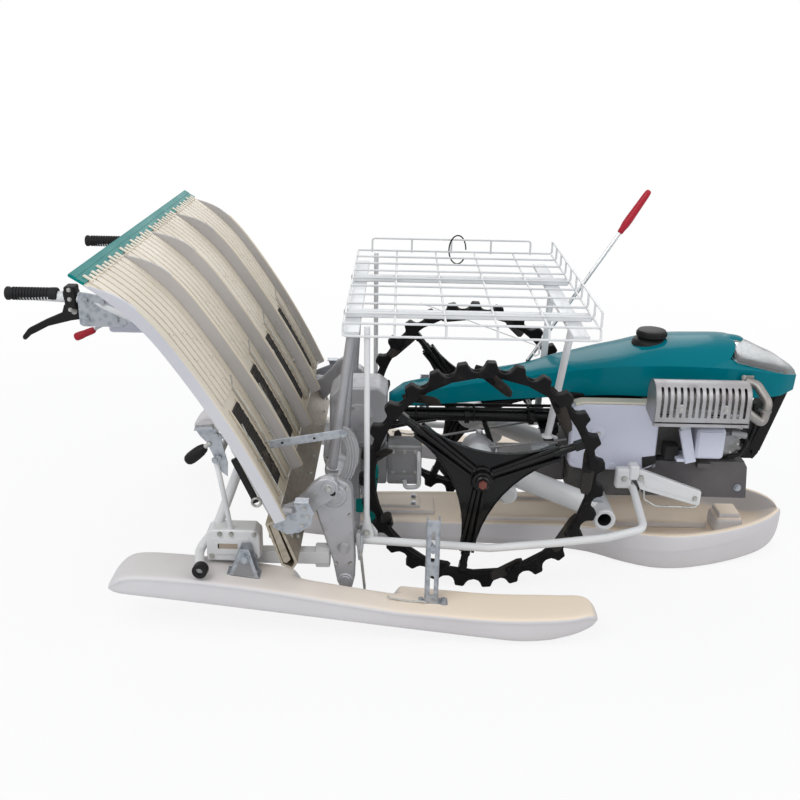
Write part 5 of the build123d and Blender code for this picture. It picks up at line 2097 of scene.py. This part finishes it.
    def silencer(self) -> None:
        """Builds the silencer under its guard and the exhaust pipe."""
        silencer = Shape("silencer", EXHAUST)
        body = ((0, 0), (26, 0), (33, 5), (35, 12), (35, 234), (33, 241), (26, 246), (0, 246))
        silencer.turn(body, (595, self.silencer_y, 536), (1, 0, 0.0001))
        silencer.box((656, -172, 471), (759, -113, 495), 4, finish=ALLOY_DARK)
        silencer.box((656, -199, 471), (759, -175, 499), 4, finish=ALLOY_DARK)
        pipe = (
            (838, -205, 512), (872, -206, 486), (906, -200, 462), (917, -190, 520), (896, -150, 556),
            (874, -128, 560),
        )
        silencer.tube(pipe, 12.8, 24)
        silencer.turn(((12, -4), (17, -3), (17, 3), (12, 4)), (910, -193, 498), (0.1, 0.1, 1), 28)
        silencer.box_at((874, -127, 560), (34, 6, 34), (1, 0, 0), 3)
        silencer.bolts(((862, 572), (886, 548)), -130, -1, 11, reach=3)
        silencer.turn(((12, -3), (18, -3), (18, 2), (12, 3)), (850, -205, 504), (1, 0, -0.8), 28)
        silencer.done("bright_steel", "muffler")

    def front(self) -> None:
        """Builds the ribbed front guard and its lower hoop."""
        guard = Shape("front_grille", BLACK_PLASTIC)
        guard.plate(((1020, 521), (998, 521), (930, 330), (948, 294), (962, 314)), -59, 59, 3, 3)
        start, end = Vector((1019, 0, 516)), Vector((962, 0, 322))
        for k in range(15):
            spot = start.lerp(end, (k + 0.5) / 15) - Vector((3.4, 0, 0))
            guard.box_at(spot, (8.5, 118.6, 7.4), end - start, 2.4)
        for y in (-57, 0, 57):
            guard.box_at((988, y, 420), (200, 4.4, 12), end - start)
        guard.box((912, -59, 297), (948, 59, 328), 4)
        for sign in SIGNS:
            hoop = ((930, 58, 470), (938, 66, 400), (918, 70, 322), (880, 72, 306))
            guard.tube([(x, sign * y, z) for x, y, z in hoop], 6, 20)
        guard.done("black_plastic", "front_guard")

    def build(self) -> None:
        """Builds the engine."""
        self.block()
        self.covers()
        self.bracket()
        self.guard()
        self.silencer()
        self.front()


# ---- hood ----
@dataclass
class Hood:
    """The glossy hood with its lamp and its fuel cap, in millimetres."""

    rows: tuple[tuple[float, ...], ...] = (
        (-120, 22, 24, 12, 430, 448, 456), (-75, 36, 42, 28, 434, 474, 484), (5, 40, 48, 32, 440, 489, 499),
        (253, 46, 54, 34, 464, 534, 545), (388, 74, 84, 50, 484, 566, 579),
        (517, 100, 110, 60, 499, 588, 608), (650, 110, 126, 62, 499, 599, 642),
        (757, 111, 128, 60, 499, 598, 650), (860, 108, 122, 56, 500, 592, 650),
        (980, 90, 102, 46, 502, 574, 604), (1035, 56, 62, 32, 512, 558, 572),
    )
    stations: int = 56
    lamp: tuple[Flat, ...] = ((824, 616), (846, 640), (892, 700), (1060, 640), (1060, 556), (1030, 562))
    lamp_x: Flat = (840.0, 1033.5)
    outlet_x: float = 862.0
    cap_place: tuple[float, float, float] = (628.0, 0.0, 618.0)

    def row(self, x: float) -> list[float]:
        """Reads the hood's sizes at a station, smoothed between its rows.

        Args:
            x: The station.

        Returns:
            The sizes there.
        """
        index = max(k for k in range(len(self.rows) - 1) if self.rows[k][0] <= x)
        near, far = self.rows[index], self.rows[index + 1]
        before = self.rows[max(index - 1, 0)]
        after = self.rows[min(index + 2, len(self.rows) - 1)]
        span = far[0] - near[0]
        t = (x - near[0]) / span
        sizes = []
        for a, b, c, d in zip(before, near, far, after):
            start = (c - a) * span / max(far[0] - before[0], 1) * 0.8
            end = (d - b) * span / max(after[0] - near[0], 1) * 0.8
            sizes.append(
                b * (2 * t**3 - 3 * t**2 + 1) + start * (t**3 - 2 * t**2 + t) + c * (3 * t**2 - 2 * t**3)
                + end * (t**3 - t**2)
            )
        return sizes

    def section(self, x: float, draw: float = 0.0) -> list[Point]:
        """Gives one rounded section across the hood.

        Args:
            x: Its station.
            draw: How far it is drawn in.

        Returns:
            Its corners.
        """
        _, foot, crease, top, foot_z, crease_z, top_z = self.row(x)
        foot, crease, top = (max(side - draw, 4) for side in (foot, crease, top))
        top_z -= draw
        rise = top_z - crease_z
        right = [
            (foot * 0.96, foot_z), (foot, foot_z + 2.5),
            (foot + (crease - foot) * 0.5, foot_z + (crease_z - foot_z) * 0.45), (crease - 0.5, crease_z - 4),
            (crease, crease_z - 0.5), (crease - 2.5, crease_z + min(2.5, rise * 0.3)),
            (crease + (top - crease) * 0.30, crease_z + rise * 0.46),
            (crease + (top - crease) * 0.62, crease_z + rise * 0.78), (top, top_z - min(5, rise * 0.1)),
            (top * 0.55, top_z - 0.6),
        ]
        outline = right + [(0, top_z)] + [(-y, z) for y, z in reversed(right)]
        return [(x, y, z) for y, z in outline]

    def shell(self) -> None:
        """Builds the shell, cut for the lamp, the exhaust and the front."""
        hood = Shape("hood_shell", TEAL_GLOSS)
        first, last = self.rows[0][0], self.rows[-1][0] - 0.5
        places = [first + (last - first) * k / self.stations for k in range(self.stations + 1)]
        hood.loft([self.section(x) for x in places])
        x = self.outlet_x
        cutter = Shape("hood_cuts", TEAL_GLOSS)
        cutter.plate(self.lamp, -150, 150, 0)
        cutter.rod((x, -160, 500), (x, 160, 500), 34, 48, 0)
        hood.minus(cutter)
        hood.done("teal_gloss", "hood")
        trim = Shape("hood_trim", BLACK_PLASTIC)
        for sign in SIGNS:
            arc = circle(11, 8, 16.4)
            trim.tube([(x + 35 * c, sign * 112, 502 + 35 * s) for c, s in arc], 2.6, 6)
        trim.rod((x, -106, 502), (x, 106, 502), 32, 40)
        trim.box((392, -84, 489), (700, 84, 500), 3)
        trim.ball((856, 0, 646), (34, 30, 9), 32, TEAL_GLOSS)
        trim.done("black_plastic")

    def headlamp(self) -> None:
        """Builds the clear lamp cover and the reflector behind it."""
        rear, front = self.lamp_x
        for name, finish, draw, slot, *nodes in (
            ("lamp_cover", LENS, 0.0, "lamp_lens", "headlamp"),
            ("lamp_reflector", CHROME, 9.0, "bright_steel"),
        ):
            lamp = Shape(name, finish)
            sections = []
            for k in range(17):
                x = rear + draw + (front - rear - draw * 2.4) * k / 16
                low = 562 + 54 * (1030 - x) / 206 + draw * 0.5
                high = 634 - draw + (x - rear) * 1.3
                sections.append([(px, y, min(max(z, low), high)) for px, y, z in self.section(x, draw)])
            lamp.loft(sections)
            lamp.done(slot, *nodes)

    def cap(self) -> None:
        """Builds the fuel cap on its dished seat."""
        cap = Shape("tank_cap", BLACK_PLASTIC)
        seat = ((0, 0), (50, 0), (54, 4), (54, 12), (48, 22), (34, 27), (30, 26))
        lid = (
            (0, 22), (30, 22), (31, 28), (41, 29), (43, 32), (42, 43), (39, 48), (32, 50), (14, 50.5),
            (0, 50.5),
        )
        for profile in (seat, lid):
            cap.turn(profile, self.cap_place, (0, 0, 1), 48)
        for c, s in circle(36):
            x, y = self.cap_place[0] + 42 * c, 42 * s
            cap.rod((x, y, 650), (x, y, 660), 1.6, 8, 0.4)
        cap.done("black_plastic", "fuel_cap")

    def build(self) -> None:
        """Builds the hood."""
        self.shell()
        self.headlamp()
        self.cap()


# ---- seedling rack ----
@dataclass
class Rack:
    """The wire rack on its posts, in millimetres."""

    rear: float = -230.0
    front: float = 392.0
    half: float = 427.0
    z: float = 785.0
    wire: float = 3.0
    cross: int = 6
    long: int = 10
    fence: float = 44.0
    rails: Flat = (-268.0, 120.0)
    rail_height: float = 20.0
    bar_height: float = 12.0

    @property
    def under(self) -> float:
        """Gives the height of the wires' lower sides."""
        return self.z - self.wire

    def shelf(self) -> None:
        """Builds the crossing wires, bent up at the front and down at the near edge."""
        shelf = Shape("rack_wires", WIRE_WHITE)
        fences = Shape("rack_edge_wires", WIRE_WHITE)
        rear, front, half, z = self.rear, self.front, self.half, self.z
        top, low = z + self.fence, z - 25
        for k in range(self.cross):
            x = rear + k * (front - rear) / (self.cross - 1)
            shelf.tube(((x, half, z), (x, -half, z), (x, -half - 8, low)), self.wire, 9)
        for k in range(self.long):
            y = -half + k * 2 * half / (self.long - 1)
            shelf.tube(((rear, y, z + 5), (front, y, z + 5), (front, y, top)), self.wire, 9)
        shelf.done("white_wire", "rack_shelf")
        arch = ((front, -half, z + 8), (front, -half, top), (front, half, top), (front, half, z + 8))
        fences.tube(arch, self.wire, 10)
        back, ahead = rear + 45, front - 70
        fences.tube(((back, half, z), (back, half, top), (ahead, half, top), (ahead, half, z)), self.wire, 10)
        for k in range(1, 4):
            x = back + k * (ahead - back) / 4
            fences.rod((x, half, z), (x, half, top), self.wire, 12)
        edge = ((rear, -half, z), (rear, -half - 8, low), (front, -half - 8, low), (front, -half, z))
        fences.tube(edge, self.wire, 9)
        plate = Shape("end_plate", WIRE_WHITE)
        plate.box((rear - 32, -half, z + 9), (rear + 3, half, z + 11.6), 0.8, finish=PINK_WHITE)
        plate.box((rear - 32, -half, z + 9), (rear - 29.4, half, top), 0.8)
        holes = Shape("end_holes", PINK_WHITE)
        for k in range(24):
            y = -half + 22 + k * 35.2
            holes.rod((rear - 40, y, z + 30), (rear - 20, y, z + 30), 6, 12, 0)
        for k in range(8):
            y = -half + 60 + k * 104
            holes.box((rear - 14, y - 16, z), (rear - 2, y + 16, z + 20), 0.5)
        plate.minus(holes)
        fences.join(plate)
        fences.done("white_wire", "rack_fences")

    def bars(self) -> None:
        """Builds the rails and the crossbars under the wires."""
        under, low = self.under, self.under - self.rail_height
        rails = Shape("rack_rail_tubes", FRAME_WHITE)
        for y in self.rails:
            rails.box((self.rear - 6, y - 10, low), (self.front + 6, y + 10, under - 0.2), 3, 3)
            for x in (self.rear - 6, self.front + 6):
                # Dark panels standing for the shaded open ends of the tubes: painted shade.
                rails.box((x - 1, y - 7, low + 3), (x + 1, y + 7, under - 3), 0.6, finish=BORE_SHADE)
        rails.done("white_paint", "rack_rails")
        bars = Shape("rack_cross_plates", FRAME_WHITE)
        bottom, half = low - self.bar_height, self.half - 20
        for x in (self.rear - 4, self.front - 62):
            bars.box((x, -half, bottom), (x + 42, half, low - 0.2), 3, 3)
            for y in self.rails:
                for shift in (10, 32):
                    bars.bolt((x + shift, y, bottom), (0, 0, -1), 12, ZINC)
        bars.done("white_paint", "rack_crossbars")

    def posts(self) -> None:
        """Builds the posts, the thin poles at the sides and the cross rod."""
        posts = Shape("rack_legs", FRAME_WHITE)
        top = self.under - self.rail_height - self.bar_height
        foot = ((7.5, 7.5, 270), (11, 4, 244), (16, 3, 228), (19, 3, 200))
        for sign in SIGNS:
            posts.rod((-216, sign * 255, top), (-236, sign * 255, 366), 10.8, 24, finish=CAST_ALLOY)
            posts.rod((-212, sign * 385, top), (-262, sign * 400, 372), 11.8, 24, finish=CAST_ALLOY)
            y = sign * 424
            posts.rod((-172, y, self.under), (-169, y, 262), 7.4)
            rings = [[(-168 + c * wide, y + s * deep, z) for c, s in circle(16)] for wide, deep, z in foot]
            posts.loft(rings)
            posts.bolt((-168, y + sign * 4, 226), (0, sign, 0), 13)
            collar = ((11, -10), (16, -8), (16, 10), (11, 12))
            posts.turn(collar, (-260, sign * 399.5, 384), (0.12, -0.04 * sign, 1), 28, CAST_ALLOY)
        for start, end in (((352, -264, top), (333, -118, 377)), ((352, 120, top), (336, 120, 377))):
            posts.rod(start, end, 10, 24)
            posts.turn(((9, 0), (17, 1), (17, 6), (10, 9)), end, (0, 0, 1), 28)
        posts.box((336, -280, top - 3), (372, -248, top), 1)
        posts.rod((-214, -256, 700), (-214, 256, 700), 6, 18)
        posts.done("white_paint", "rack_posts")

    def loop(self) -> None:
        """Builds the black tie on the far fence and the thin hook wire under the shelf."""
        tie = Shape("rack_tie", BLACK_PLASTIC)
        route = []
        for k in range(37):
            turn = math.tau * k / 40
            swing = (27 * math.cos(turn), 3 * math.sin(turn * 2), 46 * math.sin(turn))
            route.append(Vector((88, self.half, self.z + 12)) + Vector(swing))
        tie.tube(route, 2.2, 4)
        tie.done("black_plastic")
        hook = Shape("hook_wire", WIRE_WHITE)
        end = (300, -60, 628)
        hook.rod((-40, -180, self.z - 6), end, 1.4, 8, 0.2)
        hook.tube((end, (302, -60, 606), (290, -60, 598), (284, -60, 612)), 2.6, 8)
        hook.done("white_wire")

    def build(self) -> None:
        """Builds the rack."""
        self.shelf()
        self.bars()
        self.posts()
        self.loop()


@dataclass
class ShiftLever:
    """The main lever with its red grip, in millimetres."""

    y: float = 146.0
    pivot: Flat = (306.0, 394.0)
    grip: tuple[Flat, ...] = (
        (0, 0), (7, 0), (8.5, 3), (9, 12), (11.6, 30), (11.8, 48), (10.6, 88), (9.6, 128), (8.6, 138),
        (6, 143.5), (0, 145),
    )

    def build(self) -> None:
        """Builds the lever."""
        lever = Shape("main_lever", BLACK_STEEL)
        x, z = self.pivot
        lever.rod((300, self.y, 520), (560, self.y, 944), 5.8, 18, finish=CHROME)
        lever.turn(self.grip, (541, self.y, 914), (75, 0, 126), 28, RED_GRIP)
        lever.rod((x, 0, z), (x, self.y, z), 8.8)
        lever.rod((x, self.y, z - 8), (300, self.y, 522), 6.8)
        lever.turn(((0, -8), (14, -8), (14, 8), (0, 8)), (x, self.y, z), (0, 1, 0), 28)
        lever.bolt((x, self.y + 8, z), (0, 1, 0), 14)
        lever.done("black_paint", "shift_lever")


PARTS = (
    FieldWheel(Side.RIGHT),
    FieldWheel(Side.LEFT),
    SeedlingTray(),
    CentreFloat(),
    SideFloat(Side.RIGHT),
    SideFloat(Side.LEFT),
    FloatMounts(),
    PlantingGear(),
    RearFrame(),
    Handles(),
    DepthControls(),
    Chassis(),
    Engine(),
    Hood(),
    Rack(),
    ShiftLever(),
)


# ---- stage ----
@dataclass
class Studio:
    """The floor, the lights and the camera, in metres."""

    eye: tuple[float, float, float] = (-0.09730, -2.72334, 1.44825)
    turn: tuple[float, float, float] = (69.6206, -1.1279, 0.2171)
    lens: float = 44.54
    target: tuple[float, float, float] = (0.0, 0.0, 0.4)

    def floor(self) -> None:
        """Lays a white floor that keeps the object's shadow."""
        mesh = bmesh.new()
        bmesh.ops.create_grid(mesh, x_segments=2, y_segments=2, size=30.0)
        data = bpy.data.meshes.new("floor")
        mesh.to_mesh(data)
        mesh.free()
        floor = bpy.data.objects.new("floor", data)
        floor.location.z = -0.0005
        bpy.context.scene.collection.objects.link(floor)
        sheet = NodeSheet("studio_floor")
        pale = sheet.ramp(sheet.noise(3.0), 0.3, 0.7, (0.84, 0.84, 0.84), (0.86, 0.86, 0.86))
        sheet.plug("Base Color", pale)
        sheet.plug("Roughness", 0.9)
        away = sheet.node("VectorMath", {0: sheet.place})
        away.operation = "LENGTH"
        seen = sheet.node("LightPath", {}).outputs["Is Camera Ray"]
        share = sheet.maths("MULTIPLY", seen, sheet.span(away.outputs["Value"], 0.9, 3.4, 0.86, 1.0))
        glow = sheet.node("Emission", {}, Color=(1, 1, 1, 1)).outputs["Emission"]
        mix = sheet.node("MixShader", {0: share, 1: sheet.shader.outputs["BSDF"], 2: glow})
        sheet.tree.links.new(mix.outputs["Shader"], sheet.tree.nodes["Material Output"].inputs["Surface"])
        data.materials.append(sheet.material)

    def sky(self) -> None:
        """Sets an even pale world that the camera sees as white."""
        world = bpy.data.worlds.new("studio")
        bpy.context.scene.world = world
        world.use_nodes = True
        tree = world.node_tree
        light = tree.nodes["Background"]
        light.inputs["Color"].default_value = (0.93, 0.96, 1.0, 1.0)
        light.inputs["Strength"].default_value = 0.55
        white = tree.nodes.new("ShaderNodeBackground")
        white.inputs["Color"].default_value = (1, 1, 1, 1)
        white.inputs["Strength"].default_value = 1.0
        seen = tree.nodes.new("ShaderNodeLightPath")
        mix = tree.nodes.new("ShaderNodeMixShader")
        either = seen.outputs["Is Camera Ray"]
        for name in ("Is Glossy Ray", "Is Transmission Ray"):
            node = tree.nodes.new("ShaderNodeMath")
            node.operation = "MAXIMUM"
            tree.links.new(either, node.inputs[0])
            tree.links.new(seen.outputs[name], node.inputs[1])
            either = node.outputs["Value"]
        for socket, target in zip((either, light.outputs[0], white.outputs[0]), mix.inputs):
            tree.links.new(socket, target)
        tree.links.new(mix.outputs["Shader"], tree.nodes["World Output"].inputs["Surface"])

    def lamp(self, name: str, place: Point, size: float, power: float) -> None:
        """Hangs a soft lamp that faces the object.

        Args:
            name: The lamp's name.
            place: Where it hangs.
            size: The length of its sides.
            power: Its power in watts.
        """
        light = bpy.data.lights.new(name, "AREA")
        light.shape = "SQUARE"
        light.size, light.energy = size, power
        lamp = bpy.data.objects.new(name, light)
        lamp.location = place
        lamp.rotation_euler = (Vector(self.target) - Vector(place)).to_track_quat("-Z", "Y").to_euler()
        bpy.context.scene.collection.objects.link(lamp)

    def camera(self) -> None:
        """Sets up the camera."""
        lens = bpy.data.cameras.new("camera")
        lens.lens, lens.sensor_width = self.lens, 36.0
        lens.clip_end = 100.0
        camera = bpy.data.objects.new("camera", lens)
        camera.location = self.eye
        camera.rotation_euler = [math.radians(angle) for angle in self.turn]
        bpy.context.scene.collection.objects.link(camera)
        bpy.context.scene.camera = camera

    def build(self) -> None:
        """Builds the whole studio."""
        bpy.context.scene.view_settings.view_transform = "Standard"
        self.camera()
        self.floor()
        self.sky()
        self.lamp("key", (-1.6, -2.6, 3.2), 2.4, 62.0)
        self.lamp("fill", (2.6, -1.8, 2.2), 2.4, 26.0)
        self.lamp("back", (0.4, 2.8, 2.6), 2.6, 36.0)


def main() -> None:
    """Builds the studio and the machine, piece by piece."""
    logging.basicConfig(level=logging.INFO, format="%(message)s")
    Studio().build()
    for part in PARTS:
        LOG.info("-- %s", type(part).__name__)
        part.build()


if __name__ == "__main__":
    main()
